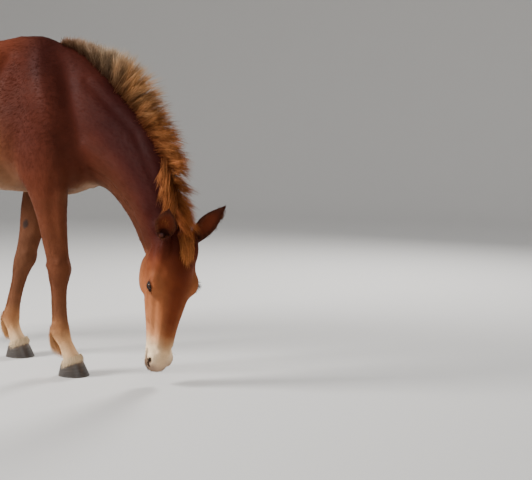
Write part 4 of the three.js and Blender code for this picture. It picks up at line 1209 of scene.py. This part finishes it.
def lie_of_coat(points, share, normals):
    """Which way the hair lies at points of the hide."""
    in_head = to_head(points)
    aside = 0.5 * np.sign(in_head[:, 1]) * step(np.abs(in_head[:, 1]), 0, 0.05)
    down = np.where(in_head[:, 2] < -0.03, 0.3, 0.9)
    ways = {
        "torso": (-0.9, 0.0, -0.45),
        "neck": np.array((-0.35, 0.0, -0.1)) - np.array((0.35, -0.1, -0.75)) * 0.55,
        "head": np.stack([down, aside, np.full(len(points), -0.15)], 1) @ HEAD_AXES,
        **{name: (-0.25, 0.0, -1.0) for name in LEGS},
        **{"ear_" + name: (ear_axes(ear) @ HEAD_AXES)[0] for name, ear in EARS.items()},
    }
    each = [unit(np.broadcast_to(ways[name], (len(points), 3))) for name in FLAT_NAMES]
    way = np.einsum("np,pnc->nc", share, np.array(each))
    return unit(way - normals * (way * normals).sum(1, keepdims=True))


corner = inset[skin_quads]
face_area = np.linalg.norm(np.cross(corner[:, 2] - corner[:, 0], corner[:, 3] - corner[:, 1]), axis=1) / 2
draw = np.random.default_rng(21)
first = skin_quads[:, 0]
expected = face_area * (skin_share[first] @ by_part(TUFT_COUNT))
in_face = to_head(inset[first])
bare = inset[first, 2] < BARE_FOOT
for side in (1, -1):
    local = (inset[first] - eye_centre(side)) @ eye_axes(side).T
    bare |= (almond(local[:, 0], local[:, 1]) < BARE_LIDS) & (np.linalg.norm(local, axis=1) < EYE_REACH)
    for place, radii in NOSTRILS:
        bare |= (((in_face - mirrored(place, side)) / np.array(radii)) ** 2).sum(1) < BARE_NOSTRIL
expected[bare] = 0
many = draw.poisson(expected)
faces = np.repeat(np.arange(len(skin_quads)), many)
draw.shuffle(faces)
s, t = draw.uniform(size=(2, len(faces), 1))
q = skin_quads[faces]
weights = np.stack([(1 - s) * (1 - t), s * (1 - t), s * t, (1 - s) * t], 1)


def at_roots(values):
    return (values[q] * weights).sum(1)


roots = at_roots(inset)
root_normals = unit(at_roots(skin_normals))
root_share = at_roots(skin_share)
colour = at_roots(skin_colour)
uv = skin_uv[q[:, 0]]
way = lie_of_coat(roots, root_share, root_normals)
way = unit(way + np.cross(root_normals, way) * draw.normal(0, TUFT_STRAY, (len(roots), 1)))
length = (root_share @ by_part(TUFT_LENGTH)) * draw.uniform(0.7, 1.25, len(roots))
half = (root_share @ by_part(TUFT_HALF)) * draw.uniform(0.7, 1.2, len(roots))
lift = (root_share @ by_part(TUFT_LIFT)) * draw.uniform(0.5, 1.3, len(roots))
start = roots - root_normals * TUFT_SUNK
middle = start + (way + root_normals * lift[:, None]) * (length * 0.5)[:, None]
tip = middle + (way + root_normals * (lift * 0.35)[:, None]) * (length * 0.5)[:, None]
paths = np.stack([start, middle, tip], 1)
widths = np.stack([half * 0.8, half, half * 0], 1)
across = np.cross(root_normals, way)
for number, part in enumerate(np.array_split(np.arange(len(roots)), COAT_PIECES)):
    blades(f"coat_{number + 1}", paths[part], widths[part], across[part], colour[part] * 0.96,
           colour[part] * 1.05, uv[part], "coat", wander=0.05, seed=40 + number,
           facing=root_normals[part])

# The mane: coarse hair about a hand long that grows from a narrow strip along the crest. At the
# withers it stands short and brushed back, then it parts, and lower down it flops forward and over.
# Share of the way down the crest, length, lean towards the head, lean to the mule's left, and how
# many of the locks fall on the right side
MANE = finer([
    (0.00, 0.010, -0.50, 0.00, 0.00),
    (0.06, 0.022, -0.50, 0.00, 0.00),
    (0.12, 0.038, -0.45, 0.00, 0.00),
    (0.24, 0.080, -0.42, 0.05, 0.00),
    (0.30, 0.112, -0.45, 0.10, 0.00),
    (0.35, 0.134, -0.30, 0.05, 0.00),
    (0.40, 0.148, 0.05, 0.00, 0.00),
    (0.46, 0.146, 0.40, 0.00, 0.00),
    (0.52, 0.138, 0.55, -0.05, 0.00),
    (0.65, 0.122, 0.60, 0.05, 0.00),
    (0.76, 0.110, 0.60, 0.05, 0.10),
    (0.82, 0.112, 0.60, -0.05, 0.30),
    (0.89, 0.104, 0.70, -0.10, 0.45),
    (0.93, 0.096, 0.90, 0.10, 0.00),
    (1.00, 0.092, 1.20, 0.00, 0.00),
], 3)
MANE_LOCKS, MANE_STRANDS, MANE_PIECES = 330, 34, 2
# How far the strands stand apart, how much they draw together, how far they stray, half width
MANE_HAIR = {"spread": 0.0070, "gather": 0.78, "stray": 0.008, "half": 0.00085}
# The roots are painted darker than the tips, partly as the hair's own darker root and partly as painted shade
# down among the locks.
MANE_ROOTS = [(0.0, 66, 32, 21), (0.3, 92, 60, 42), (0.42, 98, 58, 34), (0.6, 98, 50, 26), (1.0, 88, 40, 20)]
MANE_TIPS = [(0.0, 138, 98, 70), (0.3, 192, 166, 134), (0.42, 206, 160, 110), (0.6, 178, 116, 68),
             (1.0, 160, 92, 50)]
# How deep the locks are rooted, and how much deeper the short ones at the withers are
MANE_SUNK, WITHERS_SUNK = 0.008, 0.014
# How far a strand's place on the flattened map may be from its lock's
MAP_STRAY = 0.004


def bent(roots, ways, pulls, lengths, steps):
    """Paths that set out one way and are bent a little more by a pull at each step."""
    paths, heading = [roots], unit(ways)
    for _ in range(steps - 1):
        paths.append(paths[-1] + heading * (lengths / (steps - 1))[:, None])
        heading = unit(heading + pulls / (steps - 1))
    return np.stack(paths, 1)


def strands_of(guides, strands, spread, gather, stray, half, draw, shortest=0.7):
    """Strands round each guide, drawn together towards its tip: paths and half widths."""
    count, steps = guides.shape[:2]
    t = np.linspace(0, 1, steps)[None, None, :, None]
    offset = draw.normal(size=(count, strands, 1, 3)) * spread
    drift = draw.normal(size=(count, strands, 1, 3)) * stray
    wave = np.sin(t * draw.uniform(2, 6, (count, strands, 1, 1)) + draw.uniform(0, 6, (count, strands, 1, 3)))
    reach = draw.uniform(shortest, 1.05, (count, strands, 1, 1))
    root = guides[:, None, :1]
    paths = root + (guides[:, None] - root) * reach + offset * (1 - gather * t) + drift * t**1.5
    paths = paths + wave * stray * 0.35 * t
    paths = paths.reshape(-1, steps, 3)
    taper = np.interp(np.linspace(0, 1, steps), [0, 0.3, 0.8, 1], [0.8, 1, 0.6, 0])
    return paths, half * draw.uniform(0.7, 1.2, (len(paths), 1)) * taper


def hide_map(points):
    """The flattened map's place of the hide nearest each point."""
    return np.array([skin_uv[hide_tree.find(point)[1]] for point in points])


def along_crest(values):
    """Values of the crest at each lock's share of the way."""
    return np.stack([np.interp(share, crest_share, column) for column in values.T], 1)


hide_tree = KDTree(len(inset))
for number, point in enumerate(inset):
    hide_tree.insert(point, number)
hide_tree.balance()

draw = np.random.default_rng(3)
crest = neck_ovals(NECK[NECK[:, 0] >= 1])[0]
crest_run = np.concatenate([[0], np.cumsum(np.linalg.norm(np.diff(crest, axis=0), axis=1))])
crest_share = crest_run / crest_run[-1]
share = np.clip((np.arange(MANE_LOCKS) + draw.uniform(-0.5, 0.5, MANE_LOCKS)) / (MANE_LOCKS - 1), 0, 1)
share = 0.015 + 0.985 * share
place = along_crest(crest)
along = unit(along_crest(np.gradient(crest, axis=0)))
left = unit(np.cross((0, 0, 1), along))
out = np.cross(along, left)
length, lean, sway, fall = row_at(MANE, share)[:, 1:].T
falls = draw.uniform(size=MANE_LOCKS) < fall
sway = np.where(falls, -draw.uniform(0.9, 1.8, MANE_LOCKS), sway + draw.normal(0, 0.22, MANE_LOCKS))
length = np.where(falls, length * draw.uniform(1.25, 1.65, MANE_LOCKS), length)
lean = lean + draw.normal(0, 0.16, MANE_LOCKS)
sunk = MANE_SUNK + WITHERS_SUNK * (1 - step(share, 0.0, 0.10))
roots = place - out * sunk[:, None] + left * draw.uniform(-0.010, 0.010, (MANE_LOCKS, 1))
ways = out + along * lean[:, None] + left * sway[:, None]
droop = np.where(falls, draw.uniform(1.2, 2.0, MANE_LOCKS), draw.uniform(0.15, 0.55, MANE_LOCKS))
pulls = np.array((0, 0, -1.0)) * droop[:, None] - out * 0.5 * falls[:, None]
guides = bent(roots, ways, pulls, length * draw.uniform(0.85, 1.1, MANE_LOCKS) + 0.008, 6)
paths, widths = strands_of(guides, MANE_STRANDS, **MANE_HAIR, draw=draw)
strand_share = np.repeat(share, MANE_STRANDS)
uv = np.repeat(hide_map(place), MANE_STRANDS, 0) + draw.uniform(-MAP_STRAY, MAP_STRAY, (len(paths), 2))
lock_tone = np.repeat(draw.normal(1.0, 0.17, MANE_LOCKS), MANE_STRANDS)[:, None]
root_colour = bands(strand_share, MANE_ROOTS) * lock_tone
tip_colour = bands(strand_share, MANE_TIPS) * lock_tone
across = np.repeat(left, MANE_STRANDS, 0)
order = draw.permutation(len(paths))
for number, part in enumerate(np.array_split(order, MANE_PIECES)):
    blades(f"mane_{number + 1}", paths[part], widths[part], across[part], root_colour[part],
           tip_colour[part], uv[part], "coat", flat=0.8, wander=0.24, seed=50 + number)

# The forelock: the last of the mane, coarse hair as long as a hand. It grows between the ears and
# lies down over the forehead, a little to the mule's left.
FORELOCK_LOCKS, FORELOCK_STRANDS = 30, 42
FORELOCK_RIGHT, FORELOCK_LEFT, FORELOCK_SHIFT = -0.016, 0.031, 0.006
FORELOCK_HAIR = {"spread": 0.0042, "gather": 0.70, "stray": 0.006, "half": 0.0008}
y = np.linspace(FORELOCK_RIGHT, FORELOCK_LEFT, FORELOCK_LOCKS) * draw.uniform(0.75, 1, FORELOCK_LOCKS)
length = draw.uniform(0.088, 0.132, FORELOCK_LOCKS) * (1 - np.abs(y) / 0.090)
begin = draw.uniform(-0.006, 0.018, FORELOCK_LOCKS)
t = np.linspace(0, 1, 6)
x = begin[:, None] + length[:, None] * t
swell = draw.uniform(0.5, 1.3, (FORELOCK_LOCKS, 1))
above = 0.003 + 0.010 * np.sin(math.pi * np.minimum(t * 1.15, 1)) * swell
face = row_at(HEAD, x.ravel())[:, 1].reshape(x.shape)
drift = draw.normal(0, 0.005, (FORELOCK_LOCKS, 1)) * t
spread_y = y[:, None] * (1 - 0.3 * t) + FORELOCK_SHIFT + 0.016 * t + drift
guides = from_head(np.stack([x, spread_y, face + above - 5 * y[:, None] ** 2], 2))
paths, widths = strands_of(guides, FORELOCK_STRANDS, **FORELOCK_HAIR, draw=draw)
uv = np.repeat(hide_map(guides[:, 0]), FORELOCK_STRANDS, 0)
# Each strand runs from a dark root, which is painted shade under the ears, to a pale tip.
blades("forelock", paths, widths, HEAD_AXES[1], paint(72, 30, 15), paint(204, 128, 72), uv, "coat",
       flat=0.8, wander=0.30, seed=60)

# The tail: a dock of small bones under hide, with short hair at its top and longer, coarser hair
# below that hangs to the middle of the gaskin, as a yearling's does.
TAIL_LOCKS, TAIL_STRANDS, TAIL_PIECES = 110, 52, 2
DOCK_HIGH, DOCK_LOW, TAIL_TIP = 1.165, 0.890, 0.500
TAIL_HAIR = {"spread": 0.006, "gather": 0.25, "stray": 0.010, "half": 0.0009, "shortest": 0.62}
TAIL_ROOTS = [(0, 84, 38, 23), (1, 76, 36, 22)]
TAIL_TIPS = [(0, 122, 66, 38), (1, 172, 120, 76)]
# The turn from each lock to the next, which leaves no rows
NEXT_LOCK = 2.4
share = np.sort(draw.uniform(0, 1, TAIL_LOCKS))
height = DOCK_HIGH + (DOCK_LOW - DOCK_HIGH) * share
turn = np.arange(TAIL_LOCKS) * NEXT_LOCK + draw.uniform(-0.4, 0.4, TAIL_LOCKS)
round_it = unit(np.stack([-np.abs(np.cos(turn)) * 0.9 + 0.15, np.sin(turn), np.zeros(TAIL_LOCKS)], 1))
dock_fine = finer([(-z, x, radius) for _, x, z, radius in DOCK], 5)
dock_x, dock_radius = row_at(dock_fine, -height)[:, 1:].T
roots = np.stack([dock_x, np.zeros(TAIL_LOCKS), height], 1) + round_it * dock_radius[:, None] * 0.7
length = (height - TAIL_TIP) * (1 - 0.55 * (1 - share) * draw.uniform(0.2, 1, TAIL_LOCKS))
length *= draw.uniform(0.86, 1.02, TAIL_LOCKS)
guides = bent(roots, round_it * 0.36 + (0, 0, -1), round_it * -0.62 + (0, 0, -0.6), length, 7)
paths, widths = strands_of(guides, TAIL_STRANDS, **TAIL_HAIR, draw=draw)
uv = np.repeat(hide_map(roots), TAIL_STRANDS, 0) + draw.uniform(-MAP_STRAY, MAP_STRAY, (len(paths), 2))
across = np.repeat(np.stack([-round_it[:, 1], round_it[:, 0], round_it[:, 2]], 1), TAIL_STRANDS, 0)
shade = np.repeat(share, TAIL_STRANDS)
root_colour, tip_colour = bands(shade, TAIL_ROOTS), bands(shade, TAIL_TIPS)
order = draw.permutation(len(paths))
for number, part in enumerate(np.array_split(order, TAIL_PIECES)):
    blades(f"tail_{number + 1}", paths[part], widths[part], across[part], root_colour[part],
           tip_colour[part], uv[part], "tail_hair", *(["tail"] if number == 0 else []),
           flat=0.8, wander=0.14, seed=62 + number)

# The feet's longer hair: a wedge behind each fetlock, which hangs down over the heel, and a fringe
# round the coronet, which lies over the top of the horn.
FETLOCK_LOCKS, FETLOCK_STRANDS, FRINGE_HAIRS = 34, 26, 1400
FETLOCK_HAIR = {"spread": 0.0042, "gather": 0.5, "stray": 0.004, "half": 0.0006}
# Distance out from the middle plane of the foot and of the fringe, the fringe's height on the leg's
# line, and its half length and half width round the coronet
FOOT_OUT, FRINGE_OUT, FRINGE_AT = 0.104, 0.1055, 0.066
FRINGE_LONG, FRINGE_WIDE = 0.037, 0.034
for name, leg in LEGS.items():
    draw = np.random.default_rng(len(name) + leg["side"])
    height = draw.uniform(0.092, 0.192, FETLOCK_LOCKS)
    degrees = draw.uniform(-132, -48, FETLOCK_LOCKS)
    roots = place_on(leg["ovals"], leg["table"], np.stack([height, degrees], 1), leg["side"])
    middle_x = row_at(leg["path"], height)[:, 1]
    arm = unit(roots - np.stack([middle_x, np.full(FETLOCK_LOCKS, leg["side"] * FOOT_OUT), height], 1))
    length = np.maximum(height - draw.uniform(0.058, 0.090, FETLOCK_LOCKS), 0.030)
    guides = bent(roots - arm * 0.004, arm * 0.30 + (0.15, 0, -1), arm * -0.45 + (0.40, 0, -0.2), length, 5)
    paths, widths = strands_of(guides, FETLOCK_STRANDS, **FETLOCK_HAIR, draw=draw)
    across = np.cross(np.repeat(arm, FETLOCK_STRANDS, 0), (0, 0, 1))
    blades("fetlock_" + name, paths, widths, across, paint(206, 146, 94), paint(240, 196, 146),
           np.repeat(hide_map(roots), FETLOCK_STRANDS, 0), "coat_legs", flat=0.7, wander=0.14, seed=70)
    turn = draw.uniform(0, 2 * math.pi, FRINGE_HAIRS)
    ahead, aside = np.cos(turn), np.sin(turn)
    middle_x = row_at(leg["path"], np.full(FRINGE_HAIRS, FRINGE_AT))[:, 1]
    level = 0.060 + 0.015 * ahead + draw.uniform(-0.004, 0.012, FRINGE_HAIRS)
    roots = np.stack([middle_x + FRINGE_LONG * ahead,
                      leg["side"] * FRINGE_OUT + FRINGE_WIDE * aside, level], 1)
    arm = np.stack([ahead, aside, np.zeros(FRINGE_HAIRS)], 1)
    slant = 0.45 + 0.16 * np.clip(ahead, 0, 1)
    guides = bent(roots, arm * slant[:, None] + (0.08, 0, -1), arm * -0.05,
                  draw.uniform(0.014, 0.024, FRINGE_HAIRS), 3)
    width = draw.uniform(0.0007, 0.0011, (FRINGE_HAIRS, 1)) * np.array((0.8, 1, 0))
    blades("coronet_hair_" + name, guides, width, np.cross(arm, (0, 0, 1)), paint(222, 190, 148),
           paint(222, 194, 156), hide_map(roots), "coat_legs", seed=74, facing=arm)

# Hair in the ears: soft fuzz that grows from both edges of each cup. It points to the ear's tip and
# half across the opening, as it does in life to keep flies out.
EAR_LOCKS, EAR_STRANDS = 56, 14
EAR_HAIR = {"spread": 0.0034, "gather": 0.1, "stray": 0.003, "half": 0.00026}
for name, ear in EARS.items():
    draw = np.random.default_rng(90 + len(name))
    axes = ear_axes(ear)
    share = draw.uniform(0.02, 0.90, EAR_LOCKS)
    _, half, _, fore, opening, _ = row_at(EAR, share).T
    edge = np.where(draw.uniform(size=EAR_LOCKS) < 0.5, 1, -1)
    turn = math.pi / 2 + edge * np.radians(opening)
    roots = np.stack([share * EAR_LENGTH, half * np.cos(turn) * 0.94, fore * np.sin(turn)], 1)
    inward = np.stack([np.zeros(EAR_LOCKS), edge * 1.0, np.zeros(EAR_LOCKS)], 1)
    ways = inward * draw.uniform(0.5, 1.2, (EAR_LOCKS, 1)) + (0.9, 0, 0.02)
    guides = bent(roots, ways, inward * 0.6 + (0.2, 0, 0), draw.uniform(0.009, 0.015, EAR_LOCKS), 5)
    guides = from_head(guides @ axes + ear["root"])
    paths, widths = strands_of(guides, EAR_STRANDS, **EAR_HAIR, draw=draw)
    blades("ear_hair_" + name, paths, widths, axes[1] @ HEAD_AXES, paint(74, 36, 24), paint(120, 70, 46),
           np.repeat(hide_map(guides[:, 0]), EAR_STRANDS, 0), "coat", flat=0.7, wander=0.12, seed=80)

# The eyes: a wet dark brown ball with a level, oval pupil and a clear bulge over the iris. They
# sit under the lids, whose edges are bare dark skin with a row of lashes on the upper one.
# Half sizes of the iris and pupil, and how far the clear front bulges
IRIS, PUPIL_LONG, PUPIL_HIGH, BULGE = 0.0128, 0.0062, 0.0036, 0.0012
BALL_ROWS, BALL_SIDES = 56, 64
WHITE_FROM, WHITE_BY = 0.0150, 0.0175
# The lids' edge is a fine roll of skin, thicker above than below, a little larger than the opening
EDGE_STEPS, EDGE_SIDES, EDGE_SIZE = 96, 10, 1.02
EDGE_ABOVE, EDGE_BELOW, EDGE_OUT = 0.0021, 0.0015, 0.0016
LASHES, LASH_HALF = 90, 0.00022
# Thickness of a single stiff hair from its root to its tip
STIFF_HAIR = np.array((1, 1, 0.8, 0.5, 0))
eye_finish = material_of("eyeball", 0.20, Coat_Weight=0.25, Coat_Roughness=0.06, Specular_IOR_Level=0.25)
lid_finish = material_of("lid_skin", 0.32)
for name, side in (("left", 1), ("right", -1)):
    axes, centre = eye_axes(side), eye_centre(side)
    level = unit(np.cross(axes[2], (0, 0, 1)))
    rise = np.cross(level, axes[2])
    bearing = np.linspace(0.02, math.pi - 0.02, BALL_ROWS)
    turn = np.linspace(0, 2 * math.pi, BALL_SIDES, endpoint=False)
    out = np.cos(bearing)[:, None, None] * axes[2]
    round_it = np.cos(turn)[None, :, None] * level + np.sin(turn)[None, :, None] * rise
    off_centre = EYE_RADIUS * np.sin(bearing)[:, None]
    swell = BULGE * np.clip(1 - (off_centre / IRIS) ** 2, 0, 1) * (np.cos(bearing) > 0)[:, None]
    rings = (out + round_it * np.sin(bearing)[:, None, None]) * (EYE_RADIUS - 0.0004 + swell[..., None] * 0.9)
    points, faces = loft(centre + rings)
    arm = points - centre
    across, up, ahead = arm @ level, arm @ rise, arm @ axes[2]
    off = np.hypot(across, up)
    colour = np.tile(paint(40, 26, 20), (len(points), 1))
    colour = mixed(colour, paint(120, 96, 82), 0.25 * step(off, WHITE_FROM, WHITE_BY))
    round_iris = np.arctan2(up, across)
    streak = 0.5 + 0.5 * np.sin(round_iris * 37) * np.sin(round_iris * 23 + 1)
    iris = (1 - step(off, IRIS * 0.90, IRIS)) * (ahead > 0)
    colour = mixed(colour, paint(70, 40, 22), iris)
    colour = mixed(colour, paint(104, 64, 34), 0.35 * iris * streak)
    pupil = (1 - step(np.hypot(across / PUPIL_LONG, up / PUPIL_HIGH), 0.9, 1.1)) * (ahead > 0)
    colour = mixed(colour, paint(6, 6, 9), pupil)
    new_piece(mesh_of("eye_" + name, points + to_frame, faces), eye_finish, "eye", colour, "eye_" + name)

    lap = np.linspace(0, 2 * math.pi, EDGE_STEPS, endpoint=False)
    rim_across, rim_up = (
        EYE_OPENING[size] / 2 * EDGE_SIZE * np.sign(swing) * np.abs(swing) ** (2 / EYE_OPENING["power"])
        for size, swing in (("length", np.cos(lap)), ("height", np.sin(lap))))
    out_there = np.sqrt(np.maximum((EYE_RADIUS + EDGE_OUT) ** 2 - rim_across**2 - rim_up**2, 0))
    rim = centre + np.stack([rim_across, rim_up, out_there], 1) @ axes
    run = unit(np.roll(rim, -1, 0) - np.roll(rim, 1, 0))
    away = unit(rim - centre)
    wide = np.cross(run, away)
    thick = np.where(rim_up > 0, EDGE_ABOVE, EDGE_BELOW)[:, None]
    bow = np.linspace(0, 2 * math.pi, EDGE_SIDES, endpoint=False)
    tube = np.stack([rim + (wide * math.cos(b) + away * math.sin(b)) * thick for b in bow], 1)
    i = np.arange(EDGE_STEPS)[:, None] * EDGE_SIDES
    j = np.roll(i, -1, 0)
    a = np.arange(EDGE_SIDES)
    b = (a + 1) % EDGE_SIDES
    quads = np.stack([i + a, i + b, j + b, j + a], 2).reshape(-1, 4)
    new_piece(mesh_of("lid_edge_" + name, tube.reshape(-1, 3) + to_frame, quads), lid_finish, "coat",
              paint(40, 27, 24))
    draw = np.random.default_rng(31)
    chosen = draw.choice(np.flatnonzero(rim_up > EYE_OPENING["height"] / 2 * 0.30), LASHES)
    ways = away[chosen] * 0.9 + axes[1] * 0.35 + axes[0] * draw.normal(0.25, 0.25, (LASHES, 1))
    lashes = bent(rim[chosen] + draw.normal(0, 0.0004, (LASHES, 3)), ways,
                  axes[1] * -0.9 + away[chosen] * 0.1, draw.uniform(0.011, 0.019, LASHES), 5)
    blades("lashes_" + name, lashes, np.tile(LASH_HALF * STIFF_HAIR, (LASHES, 1)), axes[0],
           paint(36, 24, 20), paint(60, 40, 30), hide_map(rim[chosen]), "coat", flat=0.9, seed=33)

# The whiskers: single stiff feelers under the nostrils, round the lips and on the chin.
WHISKERS, WHISKER_HALF = 110, 0.0002
draw = np.random.default_rng(17)
muzzle = to_head(inset)
chosen = draw.choice(np.flatnonzero((muzzle[:, 0] > 0.450) & (muzzle[:, 2] < 0.010)), WHISKERS)
ways = skin_normals[chosen] + HEAD_AXES[0] * 0.7 + draw.normal(0, 0.2, (WHISKERS, 3))
whiskers = bent(inset[chosen], ways, np.array((0, 0, -0.4)), draw.uniform(0.010, 0.030, WHISKERS), 5)
blades("whiskers", whiskers, np.tile(WHISKER_HALF * STIFF_HAIR, (WHISKERS, 1)), HEAD_AXES[1],
       paint(92, 72, 58), paint(150, 124, 100), skin_uv[chosen], "coat", flat=0.9, seed=35)

# The hooves: a wall of dark horn that grows down from the coronet in faint rings, on a narrow,
# upright foot. The sole is a little hollow, and the wall's edge stands flat on the floor.
CORONET = {"front": 0.038, "back": 0.044, "half": 0.036, "drop": 0.030, "keel": 2.1}
SOLE = {"front": 0.064, "back": 0.060, "fore": 0.047, "hind": 0.044, "ahead": 0.008, "keel": 2.6}
# Size of each ring of the sole and how far it is hollowed
SOLE_RINGS = ((0.90, 0.0), (0.86, 0.002), (0.6, 0.006), (0.3, 0.007))
HOOF_OUT = {"fore": 0.104, "hind": 0.107}
HOOF_HEIGHT, HOOF_SIDES, HOOF_ROWS = 0.070, 64, 22
# Height of the faint rings, of the band under the coronet, and how far the wall's edge is worn
RIPPLE, BAND, EDGE_WORN = 0.00045, 0.0010, 0.0012
HORN_PAINTS = [(0.0, 120, 98, 78), (0.10, 84, 69, 57), (0.35, 62, 52, 44), (0.9, 54, 46, 40),
               (1.0, 76, 66, 56)]
HORN_GRAIN = {"scale": 90, "detail": 6, "low": 0.85, "high": 1.12, "bump": 0.3}
horn = material_of("horn", 0.42, HORN_GRAIN, Coat_Weight=0.15, Coat_Roughness=0.35)


def hoof_ring(x, y, front, back, half, high, low, keel):
    turn = np.linspace(0, 2 * math.pi, HOOF_SIDES, endpoint=False)[None]
    return oval_points(np.array([[x + front, y, high]]), np.array([[x - back, y, low]]),
                       np.array([[0.0, 1.0, 0.0]]),
                       *[np.array([value]) for value in (half, 0.5, 2.1, keel)], turn)[0]


for name, leg in LEGS.items():
    kind = name[:4]
    x, y = row_at(leg["path"], HOOF_HEIGHT - 0.004)[1], leg["side"] * HOOF_OUT[kind]
    top = hoof_ring(x, y, CORONET["front"], CORONET["back"], CORONET["half"], HOOF_HEIGHT,
                    HOOF_HEIGHT - CORONET["drop"], CORONET["keel"])
    ground = hoof_ring(x, y, SOLE["front"] + SOLE["ahead"], SOLE["back"] - SOLE["ahead"], SOLE[kind],
                       0, 0, SOLE["keel"])
    share = np.linspace(0, 1, HOOF_ROWS)[:, None, None]
    wall = top + (ground - top) * share
    outward = wall - wall.mean(1, keepdims=True)
    outward[..., 2] = 0
    outward = unit(outward)
    ripple = RIPPLE * np.sin(share * 34 + 0.6 * np.sin(share * 9)) * step(share, 0.06, 0.2)
    band = BAND * np.exp(-((share / 0.07) ** 2))
    wall = wall + outward * (ripple + band - EDGE_WORN * step(share, 0.975, 1.0))
    centre = ground.mean(0)
    under = [centre + (ground - centre) * size + (0, 0, up) for size, up in SOLE_RINGS]
    points, faces = loft(np.concatenate([wall, np.array(under)]))
    down = np.clip(1 - points[:, 2] / 0.055, 0, 1)
    colour = bands(down + 0.05 * waves(points, 0.02, 6), HORN_PAINTS)
    new_piece(mesh_of("hoof_" + name, points + to_frame, faces), horn, "horn", colour, "hoof_" + name)

# The studio: a plain pale floor that curves up into a wall all round, so no edge of it shows from
# any side. It is one sheet of painted board.
ROOM = {"flat": 8.0, "bend": 4.0, "wall": 9.0, "sides": 72}
bow = np.linspace(0, math.pi / 2, 16)
profile = np.vstack([
    np.stack([np.linspace(0.2, ROOM["flat"], 6)[:-1], np.zeros(5)], 1),
    np.stack([ROOM["flat"] + ROOM["bend"] * np.sin(bow), ROOM["bend"] * (1 - np.cos(bow))], 1),
    [(ROOM["flat"] + ROOM["bend"], ROOM["wall"])],
])
turn = np.linspace(0, 2 * math.pi, ROOM["sides"], endpoint=False)
rings = np.stack([profile[:, :1] * np.cos(turn), profile[:, :1] * np.sin(turn),
                  np.repeat(profile[:, 1:], ROOM["sides"], 1)], 2)
i = np.arange(len(profile) - 1)[:, None] * ROOM["sides"]
j = np.arange(ROOM["sides"])
k = (j + 1) % ROOM["sides"]
quads = np.stack([i + j, i + ROOM["sides"] + j, i + ROOM["sides"] + k, i + k], 2).reshape(-1, 4)
mesh = plain_mesh("room", rings.reshape(-1, 3), np.concatenate([quads.ravel(), j]),
                  np.arange(len(quads) + 1) * 4)
room_paint = bpy.data.materials.new("room_paint")
room_paint.use_nodes = True
room_shader = room_paint.node_tree.nodes["Principled BSDF"]
room_shader.inputs["Base Color"].default_value = (0.62, 0.60, 0.57, 1)
room_shader.inputs["Roughness"].default_value = 0.9
room_shader.inputs["Specular IOR Level"].default_value = 0.1
mesh.materials.append(room_paint)
room = bpy.data.objects.new("room", mesh)
bpy.context.scene.collection.objects.link(room)

# Soft light: a wide key from behind the mule's right shoulder, a low fill from the camera's side
# and a rim from the far side that lights the mane. The sky adds a little from all round.
world = bpy.data.worlds.new("studio")
bpy.context.scene.world = world
world.use_nodes = True
sky = world.node_tree.nodes["Background"]
sky.inputs["Color"].default_value = (0.92, 0.95, 1, 1)
sky.inputs["Strength"].default_value = 0.62
# Place, what it points at, width and watts of each lamp
LAMPS = {
    "key": ((-3.4, -2.2, 3.0), (0.5, -0.1, 0.5), 1.4, 440),
    "fill": ((2.6, -4.2, 2.8), (0.2, 0, 0.7), 3.0, 60),
    "rim": ((1.2, 3.8, 3.2), (0.2, 0, 0.9), 1.4, 230),
}
for name, (place, target, width, watts) in LAMPS.items():
    lamp = bpy.data.lights.new(name, "AREA")
    lamp.size, lamp.energy = width, watts
    lamp_object = bpy.data.objects.new(name, lamp)
    lamp_object.location = place
    way = Vector(target) - Vector(place)
    lamp_object.rotation_euler = way.to_track_quat("-Z", "Y").to_euler()
    bpy.context.scene.collection.objects.link(lamp_object)

# The camera: chest high, a little ahead of the mule on its right side, and aimed slightly down. Its
# place is in the mule's own frame.
CAMERA_PLACE = np.array((2.031, -3.072, 0.868))
CAMERA_HEADING, CAMERA_PITCH = math.radians(19.72), math.radians(5.71)
PHOTO_WIDTH, FOCAL_PIXELS, SENSOR = 532, 900, 36
camera = bpy.data.cameras.new("camera")
camera.sensor_width = SENSOR
camera.lens = SENSOR * FOCAL_PIXELS / PHOTO_WIDTH
camera_object = bpy.data.objects.new("camera", camera)
camera_object.location = CAMERA_PLACE + to_frame
camera_object.rotation_euler = (math.pi / 2 - CAMERA_PITCH, 0, CAMERA_HEADING)
bpy.context.scene.collection.objects.link(camera_object)
bpy.context.scene.camera = camera_object
